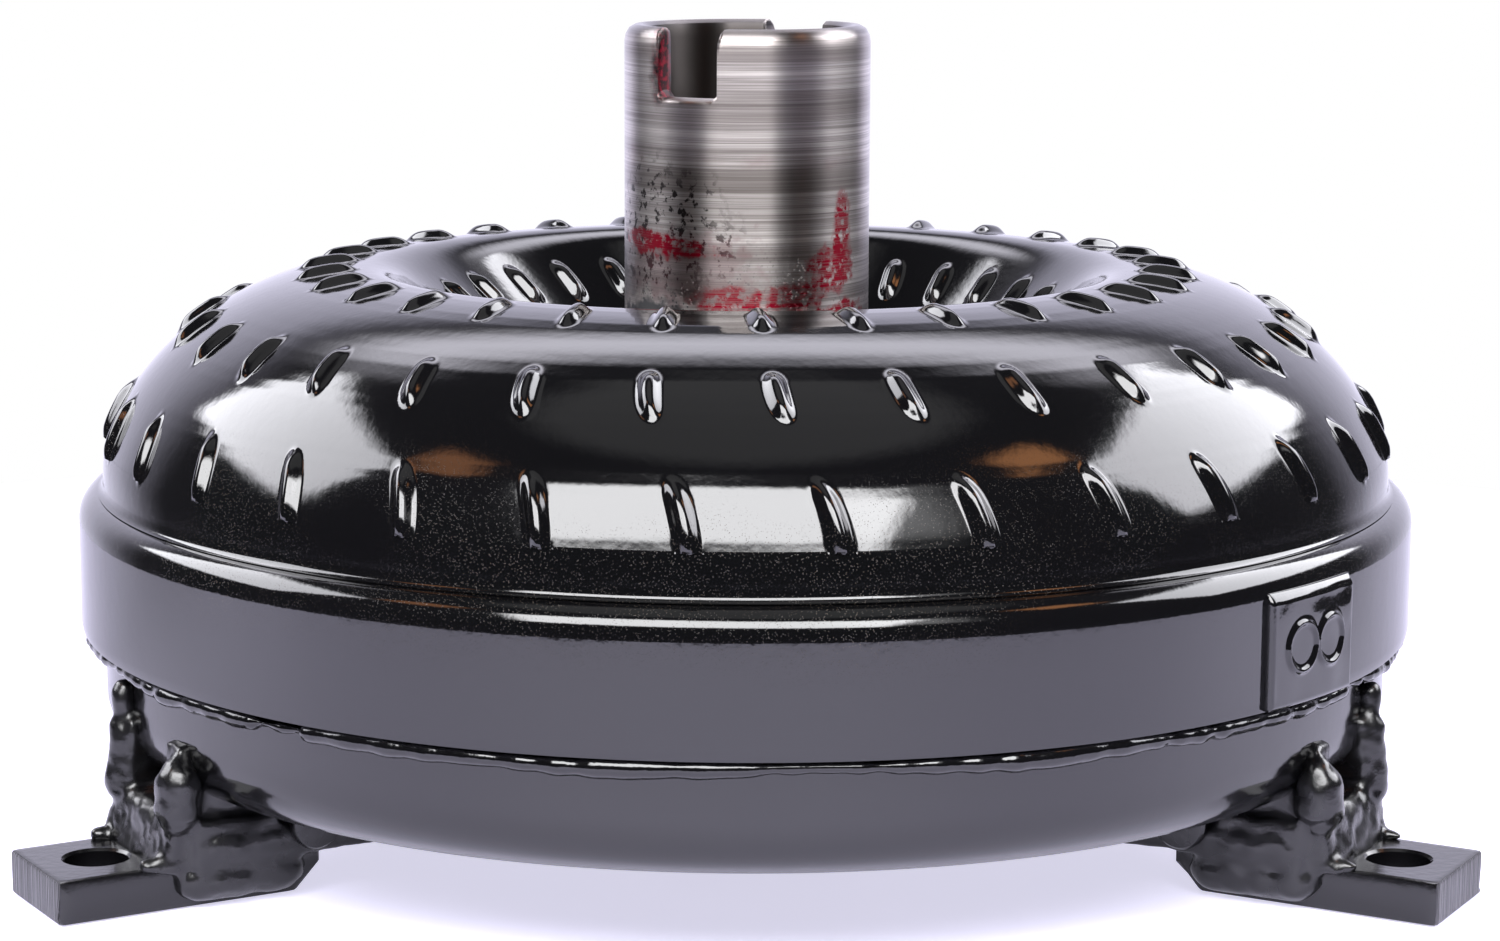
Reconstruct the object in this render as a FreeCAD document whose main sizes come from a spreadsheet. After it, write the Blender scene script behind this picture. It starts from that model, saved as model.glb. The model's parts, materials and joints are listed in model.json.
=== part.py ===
import FreeCAD, Part

# Torque converter without a lock-up clutch, of the welded kind used in drag racing.
# Frame: +Z is the shaft line and points from the engine to the transmission. The origin is the
# centre of the flexplate bolt circle, in the plane where the three lugs meet the flexplate.

import math
import os
from types import SimpleNamespace

import Sketcher
from FreeCAD import Placement, Rotation, Vector

SIZES = [
    ("joint_gap", 0.05, "clearance between pieces that are fitted to each other"),
    ("cut_margin", 5.0, "how far a cutting outline reaches past the piece it cuts"),
    ("hub_radius", 23.8125, "pump hub journal, 1 7/8 inch across"),
    ("hub_bore", 19.05, "pump hub bore radius"),
    ("hub_top", 155.0, "height of the hub's end face"),
    ("hub_chamfer", 1.4, "chamfer round the end face, across"),
    ("hub_chamfer_height", 2.52, "chamfer round the end face, along"),
    ("hub_flange_radius", 34.0, "flange that the shell is welded to"),
    ("hub_flange_bottom", 82.0, "face that the rear thrust bearing runs on"),
    ("hub_fillet", 3.0, "fillet from flange to journal"),
    ("slot_width", 13.0, "pump drive slot"),
    ("slot_depth", 13.0, "pump drive slot"),
    ("slot_azimuth", 239.5, "direction of the first drive slot"),
    ("shell_wall", 3.5, "impeller shell"),
    ("shell_hole", 34.3, "hole round the hub flange"),
    ("shell_throat", 86.0, "flat ring round the hub"),
    ("shell_flat", 42.0, "outer radius of the flat ring"),
    ("bowl_foot_radius", 50.0, "start of the bowl's straight side"),
    ("bowl_foot_height", 88.3, "start of the bowl's straight side"),
    ("bowl_foot_arc", 15.0, "curve between flat ring and side"),
    ("bowl_top_radius", 66.0, "end of the bowl's straight side"),
    ("bowl_top_height", 104.6, "end of the bowl's straight side"),
    ("crest_radius", 74.0, "highest circle of the dome"),
    ("crest_height", 108.6, "highest circle of the dome"),
    ("crest_inner_arc", 10.5, "curve from the bowl to the crest"),
    ("crest_outer_arc", 56.6, "curve from the crest outwards"),
    ("dome_radius", 106.4, "where the two outer curves meet"),
    ("dome_height", 98.4, "where the two outer curves meet"),
    ("flank_arc", 49.0, "curve down to the crease"),
    ("flank_radius", 124.9, "foot of the flank"),
    ("flank_height", 74.0, "foot of the flank"),
    ("bowl_foot_share", 0.7, "share of the wall that the bowl's foot moves out and down inside"),
    ("bowl_top_share", 0.75, "share of the wall that the bowl's top moves out and down inside"),
    ("dome_in_share", 0.57, "share of the wall that the dome's joint moves in inside"),
    ("dome_down_share", 0.82, "share of the wall that the dome's joint moves down inside"),
    ("flank_down_share", 0.3, "share of the wall that the flank's foot moves down inside"),
    ("crease_height", 67.0, "crease above the shoulder"),
    ("skirt_radius", 129.6, "outside of the skirt"),
    ("skirt_wall", 4.5, "skirt and front cover"),
    ("shoulder_height", 61.6, "top of the straight skirt"),
    ("shoulder_arc", 5.2, "rounded shoulder"),
    ("skirt_bottom", 41.0, "edge that is welded to the cover"),
    ("inner_step", 60.2, "step that the cover's rim stands under"),
    ("cover_rim", 60.0, "top of the cover's rim"),
    ("cover_corner", 9.5, "outer corner of the cover"),
    ("cover_foot", 19.0, "lowest ring of the cover"),
    ("cover_foot_radius", 84.0, "inside of the lowest ring"),
    ("cover_face_radius", 70.0, "raised middle of the cover"),
    ("cover_face", 22.0, "underside of the raised middle"),
    ("cover_floor", 27.0, "face that the front thrust bearing stands on"),
    ("cover_wall", 5.0, "thickness of the cover's face"),
    ("pilot_radius", 21.63, "crank pilot"),
    ("pilot_tip", 1.0, "end of the crank pilot"),
    ("pilot_chamfer", 1.5, "end of the crank pilot"),
    ("pilot_shoulder_radius", 24.5, "shoulder that the crank pilot is welded on by"),
    ("pilot_shoulder", 17.5, "face of that shoulder"),
    ("weld_leg", 3.2, "leg of the small ring welds"),
    ("weld_crown", 1.3, "radius of a weld's face over its leg"),
    ("closure_leg", 4.2, "leg of the closure weld"),
    ("lug_count", 3.0, "mounting lugs"),
    ("lug_azimuth", 90.0, "direction of the first lug"),
    ("bolt_circle", 136.525, "radius of the 10.75 inch bolt circle"),
    ("bolt_hole", 5.8, "radius of the flexplate bolt holes"),
    ("bar_thickness", 8.0, "lug bar"),
    ("bar_width", 25.4, "lug bar"),
    ("bar_end", 148.3, "outer end of the bar"),
    ("bar_root", 98.0, "inner end of the bar"),
    ("bar_bevel", 5.0, "bevel under the inner end"),
    ("bracket_width", 34.0, "bracket that joins the bar to the cover"),
    ("bracket_root", 85.0, "inner end of the bracket"),
    ("bracket_toe", 131.5, "outer foot of the bracket"),
    ("bracket_face", 127.6, "upright face of the bracket"),
    ("bracket_bend", 16.0, "height where the face turns upright"),
    ("bracket_top", 35.5, "top of the bracket"),
    ("bracket_bevel", 5.0, "height of the slope at the top of the bracket's face"),
    ("bracket_slope", 2.5, "how far that slope leans in"),
    ("bracket_ledge", 13.5, "top of the bracket's inner ledge"),
    ("bracket_step", 108.0, "where the ledge meets the upright"),
    ("bracket_round", 5.0, "rounded inner corners"),
    ("window_width", 10.0, "hollow between the two webs"),
    ("window_bottom", 18.0, "hollow between the two webs"),
    ("window_top", 30.0, "hollow between the two webs"),
    ("window_wall", 4.0, "wall behind the hollow"),
    ("side_weld_end", 1.0, "end of a side weld, short of the bracket's foot"),
    ("rod_radius", 5.0, "round bar under the cover's corner"),
    ("rod_place", 101.0, "radius that the round bar lies at"),
    ("rod_length", 38.0, "round bar"),
    ("plate_azimuth", 319.1, "balance plate on the skirt"),
    ("plate_angle", 11.7, "width of the balance plate"),
    ("plate_bottom", 41.6, "balance plate"),
    ("plate_top", 61.4, "balance plate"),
    ("plate_thickness", 1.5, "balance plate"),
    ("bearing_inner", 22.0, "thrust bearings"),
    ("bearing_outer", 30.0, "thrust bearings"),
    ("race_thickness", 0.9, "thrust bearing race"),
    ("needle_radius", 0.95, "thrust bearing needle"),
    ("needle_length", 5.4, "thrust bearing needle"),
    ("needle_count", 24.0, "needles in each thrust bearing"),
    ("cage_thickness", 1.1, "thrust bearing cage"),
    ("middle_bearing", 56.0, "bottom of the bearing between turbine and stator"),
    ("core_inner", 60.5, "inner edge of the core rings"),
    ("core_outer", 104.5, "outer edge of the core rings"),
    ("core_shoulder", 7.5, "width of the core rings' curved sides"),
    ("core_height", 10.4, "height of the core rings' curved sides"),
    ("core_side_arc", 10.5, "core rings' curved sides"),
    ("core_crown_arc", 33.0, "core rings' crown"),
    ("core_wall", 1.5, "core rings"),
    ("impeller_edge", 73.5, "lower edge of the impeller's blades"),
    ("turbine_edge", 70.5, "upper edge of the turbine's blades"),
    ("blade_thickness", 1.2, "sheet-metal blades"),
    ("impeller_blade_count", 31.0, "impeller blades"),
    ("turbine_blade_count", 29.0, "turbine blades"),
    ("blade_root", 50.0, "distance from the axis where a blade's sheet starts"),
    ("impeller_root_offset", -2.2, "sideways place of an impeller blade's inner end"),
    ("impeller_tip_offset", 20.1, "sideways place of an impeller blade's outer end"),
    ("turbine_root_offset", 9.0, "sideways place of a turbine blade's inner end"),
    ("turbine_tip_offset", -15.0, "sideways place of a turbine blade's outer end"),
    ("throat_lean", 5.0, "inward lean of the blades' inner edges"),
    ("throat_rise", 18.0, "height over which they lean"),
    ("passage_height", 40.0, "more than the flow passage's height"),
    ("impeller_blade_arc", 150.0, "plan curve of the impeller's blades"),
    ("turbine_blade_arc", 62.0, "plan curve of the turbine's blades"),
    ("turbine_wall", 2.0, "turbine shell"),
    ("turbine_lip", 118.3, "rim of the turbine shell"),
    ("turbine_bend_radius", 104.0, "where the turbine shell's two curves meet"),
    ("turbine_bend_height", 46.2, "where the turbine shell's two curves meet"),
    ("turbine_low_radius", 75.0, "lowest circle of the turbine shell"),
    ("turbine_low_height", 37.0, "lowest circle of the turbine shell"),
    ("turbine_rise_radius", 62.5, "start of the turbine shell's inner side"),
    ("turbine_rise_height", 43.0, "start of the turbine shell's inner side"),
    ("turbine_seat_radius", 56.5, "outer radius of the turbine shell's flat"),
    ("turbine_seat", 50.0, "face where the turbine shell sits on its hub"),
    ("turbine_inner_arc", 16.0, "curve up to the turbine shell's inner side"),
    ("turbine_low_arc", 50.3, "curve outwards from the turbine shell's lowest circle"),
    ("turbine_lip_arc", 34.3, "curve up to the turbine shell's rim"),
    ("turbine_hole", 31.0, "hole in the turbine shell"),
    ("turbine_hub_bottom", 30.8, "face on the front thrust bearing"),
    ("turbine_hub_radius", 30.5, "ends of the turbine hub"),
    ("turbine_neck", 20.0, "neck of the turbine hub"),
    ("turbine_foot", 3.0, "straight edge of the turbine hub's lower end"),
    ("turbine_foot_slope", 4.0, "height of the slope above it"),
    ("turbine_web", 3.0, "height of the slope under the flange"),
    ("turbine_web_run", 7.0, "width of the slope under the flange"),
    ("turbine_flange", 45.0, "flange of the turbine hub"),
    ("turbine_flange_thickness", 4.0, "flange of the turbine hub"),
    ("turbine_spline_minor", 12.4, "turbine hub spline"),
    ("turbine_spline_major", 13.6, "turbine hub spline"),
    ("turbine_spline_teeth", 30.0, "turbine hub spline"),
    ("spline_root", 0.3, "half width of a tooth space at its open end, over the pitch"),
    ("spline_tip", 0.2, "half width of a tooth space at its bottom, over the pitch"),
    ("rivet_circle", 38.0, "turbine rivets"),
    ("rivet_radius", 2.5, "turbine rivets"),
    ("rivet_head", 4.0, "turbine rivet head radius"),
    ("rivet_head_height", 1.6, "turbine rivet heads"),
    ("rivet_count", 8.0, "turbine rivets"),
    ("stator_bottom", 57.4, "stator hub ring"),
    ("stator_top", 80.6, "stator hub ring"),
    ("stator_bore", 34.1, "stator hub ring"),
    ("stator_ring", 40.0, "outside of the stator hub ring"),
    ("vane_tip", 56.5, "outer end of the vanes"),
    ("vane_bottom", 61.5, "leading edge of the vanes"),
    ("vane_top", 77.5, "trailing edge of the vanes"),
    ("vane_lean", 7.0, "sideways run of a vane"),
    ("vane_back_arc", 10.5, "rounded back of a vane"),
    ("vane_belly_arc", 22.0, "hollow side of a vane"),
    ("vane_count", 19.0, "stator vanes"),
    ("vane_overlap", 1.0, "how far a vane's ends run into the ring and the rim"),
    ("shroud_radius", 58.0, "outside of the stator's rim"),
    ("shroud_bottom", 64.5, "stator's rim"),
    ("shroud_top", 75.0, "stator's rim"),
    ("clutch_bottom", 62.2, "lower face of the one-way clutch"),
    ("clutch_top", 75.8, "upper face of the one-way clutch"),
    ("cam_radius", 34.05, "outside of the clutch's outer race"),
    ("cam_bore", 24.3, "lands between the roller pockets"),
    ("cap_thickness", 2.4, "caps that close the clutch"),
    ("cap_bore", 20.5, "caps that close the clutch"),
    ("inner_race_radius", 22.0, "clutch inner race"),
    ("inner_race_gap", 0.3, "gap at each end of the inner race"),
    ("stator_spline_minor", 15.2, "clutch inner race spline"),
    ("stator_spline_major", 16.2, "clutch inner race spline"),
    ("stator_spline_teeth", 36.0, "clutch inner race spline"),
    ("roller_radius", 3.3, "clutch rollers"),
    ("roller_circle", 25.35, "circle that the rollers stand on"),
    ("roller_count", 8.0, "clutch rollers"),
    ("pocket_radius", 3.4, "ends of a roller pocket"),
    ("pocket_run", 7.5, "length of a pocket's straight side"),
    ("pocket_ease", 0.3, "extra length at a pocket's closed end"),
    ("spring_strip", 0.6, "half the strip's width across a slanting fold"),
    ("spring_inner", 23.95, "inner ends of the spring's folds"),
    ("spring_outer", 26.95, "outer ends of the spring's folds"),
    ("spring_folds", 7.0, "corners along the folded strip"),
    ("spring_height", 8.0, "spring steel strip"),
    ("snap_inner", 31.6, "snap rings"),
    ("snap_outer", 35.2, "snap rings"),
    ("snap_thickness", 1.3, "snap rings"),
    ("snap_opening", 8.0, "opening of a snap ring"),
]

ALL_ROUND = 360.0
AXIS = Vector(0, 0, 1)
ON_XZ = Rotation(Vector(1, 0, 0), 90)


class Size:
    """A number together with the sheet expression that gives it."""

    def __init__(self, value, text):
        self.value = value
        self.text = text

    def __add__(self, other):
        other = sized(other)
        return Size(self.value + other.value, f"({self.text} + {other.text})")

    def __sub__(self, other):
        other = sized(other)
        return Size(self.value - other.value, f"({self.text} - {other.text})")

    def __mul__(self, other):
        other = sized(other)
        return Size(self.value * other.value, f"({self.text} * {other.text})")

    def __truediv__(self, other):
        other = sized(other)
        return Size(self.value / other.value, f"({self.text} / {other.text})")

    def __neg__(self):
        return Size(-self.value, f"(0 - {self.text})")

    def __rsub__(self, other):
        return sized(other) - self

    def __rtruediv__(self, other):
        return sized(other) / self

    __radd__ = __add__
    __rmul__ = __mul__


def sized(number):
    """A Size as it is, or a plain number as a Size."""
    if isinstance(number, Size):
        return number
    return Size(float(number), f"({float(number)!r})")


def bind(thing, prop, size):
    """Set a property from a Size through an expression."""
    thing.setExpression(prop, sized(size).text)


def make_sheet(doc):
    """Write the driving dimensions into the sheet and return them as Sizes."""
    sheet = doc.addObject("Spreadsheet::Sheet", "Sizes")
    for row, (alias, value, note) in enumerate(SIZES, start=1):
        sheet.set(f"A{row}", alias)
        sheet.set(f"B{row}", str(value))
        sheet.set(f"C{row}", note)
        sheet.setAlias(f"B{row}", alias)
    doc.recompute()
    return SimpleNamespace(**{alias: Size(value, f"Sizes.{alias}") for alias, value, note in SIZES})


# ---------------------------------------------------------------- sketches


def arc_between(start, end, radius, turn):
    """The short arc from start to end. A turn of +1 runs counter-clockwise, -1 clockwise."""
    chord = end - start
    half = chord.Length / 2
    rise = math.sqrt(max(radius**2 - half**2, 0.0))
    left = Vector(-chord.y, chord.x, 0) / chord.Length
    centre = (start + end) / 2 + left * (rise * turn)
    first, last = (start, end) if turn > 0 else (end, start)
    begin = math.atan2(first.y - centre.y, first.x - centre.x)
    finish = math.atan2(last.y - centre.y, last.x - centre.x)
    if finish < begin:
        finish += 2 * math.pi
    return Part.ArcOfCircle(Part.Circle(centre, AXIS, radius), begin, finish)


def hold(sketch, kind, size, *places):
    """Add a dimension to a sketch and bind it to a Size."""
    index = sketch.addConstraint(Sketcher.Constraint(kind, *places, sized(size).value))
    bind(sketch, f"Constraints[{index}]", size)


def draw_outline(sketch, corners, closed=True):
    """Draw edges through corners, each (x, y), or (x, y, radius, turn) where an arc starts."""
    first = sketch.GeometryCount
    points = [Vector(sized(c[0]).value, sized(c[1]).value, 0) for c in corners]
    edge_count = len(corners) if closed else len(corners) - 1
    starts = []
    ends = []
    for index in range(edge_count):
        corner = corners[index]
        start, end = points[index], points[(index + 1) % len(points)]
        edge = first + index
        if len(corner) == 2:
            sketch.addGeometry(Part.LineSegment(start, end))
            forward = True
        else:
            radius, turn = corner[2:]
            sketch.addGeometry(arc_between(start, end, sized(radius).value, turn))
            forward = turn > 0
        starts.append((edge, 1 if forward else 2))
        ends.append((edge, 2 if forward else 1))
    for index in range(edge_count if closed else edge_count - 1):
        following = starts[(index + 1) % edge_count]
        sketch.addConstraint(Sketcher.Constraint("Coincident", *ends[index], *following))
    places = starts if closed else starts + ends[-1:]
    for corner, place in zip(corners, places):
        hold(sketch, "DistanceX", corner[0], -1, 1, *place)
        hold(sketch, "DistanceY", corner[1], -1, 1, *place)
    for index in range(edge_count):
        if len(corners[index]) > 2:
            hold(sketch, "Radius", corners[index][2], first + index)


def draw_circle(sketch, x, y, radius):
    """Draw a circle with its centre and radius bound."""
    edge = sketch.GeometryCount
    centre = Vector(sized(x).value, sized(y).value, 0)
    sketch.addGeometry(Part.Circle(centre, AXIS, sized(radius).value))
    hold(sketch, "DistanceX", x, -1, 1, edge, 3)
    hold(sketch, "DistanceY", y, -1, 1, edge, 3)
    hold(sketch, "Radius", radius, edge)


def origin_part(body, role):
    """One of a body's own origin planes or axes."""
    return next(f for f in body.Origin.OriginFeatures if f.Role == role)


def sketch_in(body, name, role="XY_Plane", lift=0.0):
    """A sketch on one of a body's planes, lifted along the plane's normal."""
    sketch = body.newObject("Sketcher::SketchObject", name)
    sketch.AttachmentSupport = [(origin_part(body, role), "")]
    sketch.MapMode = "FlatFace"
    bind(sketch, "AttachmentOffset.Base.z", lift)
    return sketch


def free_sketch(doc, name, corners, closed=True, rotation=ON_XZ):
    """A sketch outside any body, standing in the XZ plane unless turned otherwise."""
    sketch = doc.addObject("Sketcher::SketchObject", name)
    sketch.Placement = Placement(Vector(), rotation)
    draw_outline(sketch, corners, closed)
    return sketch


# ---------------------------------------------------------------- features


def new_body(doc, name):
    """An empty body whose label names its file."""
    body = doc.addObject("PartDesign::Body", name)
    body.Label = name
    body.AllowCompound = True
    return body


def revolve(body, name, corners, kind="PartDesign::Revolution", angle=ALL_ROUND):
    """Turn an outline in the XZ plane about Z, to add metal or to cut it away."""
    sketch = sketch_in(body, f"{name}_outline", "XZ_Plane")
    draw_outline(sketch, corners)
    feature = body.newObject(kind, name)
    feature.Profile = sketch
    feature.ReferenceAxis = (sketch, ["V_Axis"])
    bind(feature, "Angle", angle)
    return feature


def turned_body(doc, name, corners):
    """A body that is one turned outline."""
    body = new_body(doc, name)
    revolve(body, f"{name}_turning", corners)
    return body


def pad(body, name, sketch, length, both_ways=False):
    """Extrude a sketch along its normal, or half each way."""
    feature = body.newObject("PartDesign::Pad", name)
    feature.Profile = sketch
    feature.Midplane = both_ways
    bind(feature, "Length", length)
    return feature


def cut(body, name, sketch, depth, both_ways=False):
    """Cut a sketch down from its plane, or half each way, and check that it removed metal."""
    body.Document.recompute()
    before = body.Shape.Volume
    feature = body.newObject("PartDesign::Pocket", name)
    feature.Profile = sketch
    feature.Midplane = both_ways
    bind(feature, "Length", depth)
    body.Document.recompute()
    if body.Shape.Volume >= before:
        raise RuntimeError(f"{name} removed nothing")
    return feature


def repeat(body, feature, count):
    """Repeat a feature evenly about the body's Z axis."""
    pattern = body.newObject("PartDesign::PolarPattern", f"{feature.Name}_ring")
    pattern.Originals = [feature]
    pattern.Axis = (origin_part(body, "Z_Axis"), [""])
    pattern.Angle = ALL_ROUND
    bind(pattern, "Occurrences", count)
    body.Tip = pattern
    return pattern


def turn_about_axis(thing, azimuth):
    """Turn a finished sub-part about Z."""
    thing.Placement = Placement(Vector(), Rotation(AXIS, sized(azimuth).value))
    bind(thing, "Placement.Rotation.Angle", azimuth)


def shell_of_revolution(doc, name, meridian, wall):
    """A sheet-metal shell: an open meridian thickened to its right by a wall and turned."""
    path = free_sketch(doc, f"{name}_meridian", meridian, closed=False)
    section = doc.addObject("Part::Offset2D", f"{name}_section")
    section.Source = path
    section.Value = wall.value
    section.Mode = "Skin"
    section.Join = "Intersection"
    section.Fill = True
    bind(section, "Value", wall)
    turned = doc.addObject("Part::Revolution", name)
    turned.Label = name
    turned.Source = section
    turned.Axis = AXIS
    turned.Angle = ALL_ROUND
    return turned


# ---------------------------------------------------------------- welded housing


def impeller_shell(doc, d):
    """Dome that the impeller's blades are fixed in, with the skirt that laps over the cover."""
    body = new_body(doc, "impeller_shell")
    inner_skirt = d.skirt_radius - d.skirt_wall
    wall = d.shell_wall
    foot = wall * d.bowl_foot_share
    top = wall * d.bowl_top_share
    joint_in = wall * d.dome_in_share
    joint_down = wall * d.dome_down_share
    revolve(body, "dome", [
        (d.shell_hole, d.shell_throat),
        (d.shell_hole, d.shell_throat - wall),
        (d.shell_flat, d.shell_throat - wall, d.bowl_foot_arc + wall, 1),
        (d.bowl_foot_radius + foot, d.bowl_foot_height - foot),
        (d.bowl_top_radius + top, d.bowl_top_height - top, d.crest_inner_arc - wall, -1),
        (d.crest_radius, d.crest_height - wall, d.crest_outer_arc - wall, -1),
        (d.dome_radius - joint_in, d.dome_height - joint_down, d.flank_arc - wall, -1),
        (d.flank_radius - wall, d.flank_height - wall * d.flank_down_share),
        (d.flank_radius - wall, d.inner_step + wall),
        (inner_skirt, d.inner_step),
        (inner_skirt, d.skirt_bottom),
        (d.skirt_radius, d.skirt_bottom),
        (d.skirt_radius, d.shoulder_height, d.shoulder_arc, 1),
        (d.flank_radius, d.crease_height),
        (d.flank_radius, d.flank_height, d.flank_arc, 1),
        (d.dome_radius, d.dome_height, d.crest_outer_arc, 1),
        (d.crest_radius, d.crest_height, d.crest_inner_arc, 1),
        (d.bowl_top_radius, d.bowl_top_height),
        (d.bowl_foot_radius, d.bowl_foot_height, d.bowl_foot_arc, -1),
        (d.shell_flat, d.shell_throat),
    ])
    return body


def pump_hub(doc, d):
    """Hub that drives the transmission's pump, with two opposed drive slots in its end."""
    body = turned_body(doc, "pump_hub", [
        (d.hub_bore, d.hub_flange_bottom),
        (d.hub_flange_radius, d.hub_flange_bottom),
        (d.hub_flange_radius, d.shell_throat),
        (d.hub_radius + d.hub_fillet, d.shell_throat, d.hub_fillet, -1),
        (d.hub_radius, d.shell_throat + d.hub_fillet),
        (d.hub_radius, d.hub_top - d.hub_chamfer_height),
        (d.hub_radius - d.hub_chamfer, d.hub_top),
        (d.hub_bore + d.hub_chamfer / 2, d.hub_top),
        (d.hub_bore, d.hub_top - d.hub_chamfer / 2),
    ])
    slots = sketch_in(body, "drive_slots", lift=d.hub_top)
    half = d.slot_width / 2
    reach = d.hub_radius + d.cut_margin
    draw_outline(slots, [(-reach, -half), (reach, -half), (reach, half), (-reach, half)])
    cut(body, "slot_cut", slots, d.slot_depth)
    turn_about_axis(body, d.slot_azimuth)
    return body


def hub_weld(doc, d):
    """Ring of weld over the joint between hub flange and shell."""
    middle = (d.hub_flange_radius + d.shell_hole) / 2
    return turned_body(doc, "hub_weld", [
        (middle - d.weld_leg, d.shell_throat),
        (middle + d.weld_leg, d.shell_throat, d.weld_leg * d.weld_crown, 1),
    ])


def front_cover(doc, d):
    """Pressed cover on the engine side, whose rim slides up inside the skirt."""
    radius = d.skirt_radius - d.skirt_wall - d.joint_gap
    inner = radius - d.skirt_wall
    foot_floor = d.cover_foot + d.cover_wall
    inner_corner = d.cover_corner - d.skirt_wall
    return turned_body(doc, "front_cover", [
        (0, d.cover_face),
        (d.cover_face_radius, d.cover_face),
        (d.cover_foot_radius, d.cover_foot),
        (radius - d.cover_corner, d.cover_foot, d.cover_corner, 1),
        (radius, d.cover_foot + d.cover_corner),
        (radius, d.cover_rim),
        (inner, d.cover_rim),
        (inner, foot_floor + inner_corner, inner_corner, -1),
        (inner - inner_corner, foot_floor),
        (d.cover_foot_radius, foot_floor),
        (d.cover_face_radius, d.cover_floor),
        (0, d.cover_floor),
    ])


def crank_pilot(doc, d):
    """Stub that centres the converter in the crankshaft, with a centre-drilled end and a shoulder."""
    drill = d.pilot_chamfer * 2
    return turned_body(doc, "crank_pilot", [
        (0, d.cover_face),
        (0, d.pilot_tip + drill),
        (drill, d.pilot_tip),
        (d.pilot_radius - d.pilot_chamfer, d.pilot_tip),
        (d.pilot_radius, d.pilot_tip + d.pilot_chamfer),
        (d.pilot_radius, d.pilot_shoulder),
        (d.pilot_shoulder_radius, d.pilot_shoulder),
        (d.pilot_shoulder_radius, d.cover_face),
    ])


def pilot_weld(doc, d):
    """Fillet of weld round the shoulder of the crank pilot."""
    return turned_body(doc, "pilot_weld", [
        (d.pilot_shoulder_radius, d.cover_face),
        (d.pilot_shoulder_radius, d.cover_face - d.weld_leg, d.weld_leg * d.weld_crown, 1),
        (d.pilot_shoulder_radius + d.weld_leg, d.cover_face),
    ])


def closure_weld(doc, d):
    """Weld that closes the housing, under the skirt's edge and round the cover."""
    cover = d.skirt_radius - d.skirt_wall
    return turned_body(doc, "closure_weld", [
        (cover, d.skirt_bottom),
        (cover, d.skirt_bottom - d.closure_leg, d.closure_leg * d.weld_crown, 1),
        (cover + d.closure_leg, d.skirt_bottom),
    ])


def balance_plate(doc, d):
    """Small curved plate fixed to the skirt."""
    body = new_body(doc, "balance_plate")
    revolve(body, "curved_plate", [
        (d.skirt_radius, d.plate_bottom),
        (d.skirt_radius + d.plate_thickness, d.plate_bottom),
        (d.skirt_radius + d.plate_thickness, d.plate_top),
        (d.skirt_radius, d.plate_top),
    ], angle=d.plate_angle)
    turn_about_axis(body, d.plate_azimuth - d.plate_angle / 2)
    return body


# ---------------------------------------------------------------- mounting lugs


def lug_bar(doc, d, name, azimuth):
    """Flat bar with the hole for a flexplate bolt."""
    body = new_body(doc, name)
    side = sketch_in(body, f"{name}_side", "XZ_Plane")
    draw_outline(side, [
        (d.bar_root + d.bar_bevel, 0),
        (d.bar_end, 0),
        (d.bar_end, d.bar_thickness),
        (d.bar_root, d.bar_thickness),
        (d.bar_root, d.bar_bevel),
    ])
    pad(body, f"{name}_bar", side, d.bar_width, both_ways=True)
    hole = sketch_in(body, f"{name}_bolt", lift=d.bar_thickness)
    draw_circle(hole, d.bolt_circle, 0, d.bolt_hole)
    cut(body, f"{name}_hole", hole, d.bar_thickness)
    turn_about_axis(body, azimuth)
    return body


def lug_bracket(doc, d, name, azimuth):
    """Bracket between bar and cover: an inner ledge, and two upright webs with a hollow between."""
    body = new_body(doc, name)
    side = sketch_in(body, f"{name}_side", "XZ_Plane")
    draw_outline(side, [
        (d.bracket_root, d.bar_thickness),
        (d.bracket_toe, d.bar_thickness),
        (d.bracket_face, d.bracket_bend),
        (d.bracket_face, d.bracket_top - d.bracket_bevel),
        (d.bracket_face - d.bracket_slope, d.bracket_top),
        (d.bracket_step, d.bracket_top),
        (d.bracket_step, d.bracket_ledge),
        (d.bracket_root, d.bracket_ledge),
    ])
    pad(body, f"{name}_block", side, d.bracket_width, both_ways=True)
    round_inner_corners(body, name, d)
    gap = d.joint_gap
    cover = d.skirt_radius - d.skirt_wall
    revolve(body, f"{name}_seat", [
        (d.bracket_root - d.cut_margin, d.cover_foot - gap),
        (cover - d.cover_corner, d.cover_foot - gap, d.cover_corner + gap, 1),
        (cover + gap, d.cover_foot + d.cover_corner),
        (cover + gap, d.bracket_top + d.cut_margin),
        (d.bracket_root - d.cut_margin, d.bracket_top + d.cut_margin),
    ], kind="PartDesign::Groove")
    window = sketch_in(body, f"{name}_hollow", lift=d.window_top)
    half = d.window_width / 2
    behind = d.bracket_step + d.window_wall
    ahead = d.bracket_toe + d.cut_margin
    draw_outline(window, [(behind, -half), (ahead, -half), (ahead, half), (behind, half)])
    cut(body, f"{name}_window", window, d.window_top - d.window_bottom)
    trough = sketch_in(body, f"{name}_trough", "XZ_Plane")
    draw_circle(trough, d.rod_place, d.cover_foot - gap - d.rod_radius, d.rod_radius + gap)
    cut(body, f"{name}_rod_seat", trough, d.bracket_width * 2, both_ways=True)
    turn_about_axis(body, azimuth)
    return body


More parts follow.
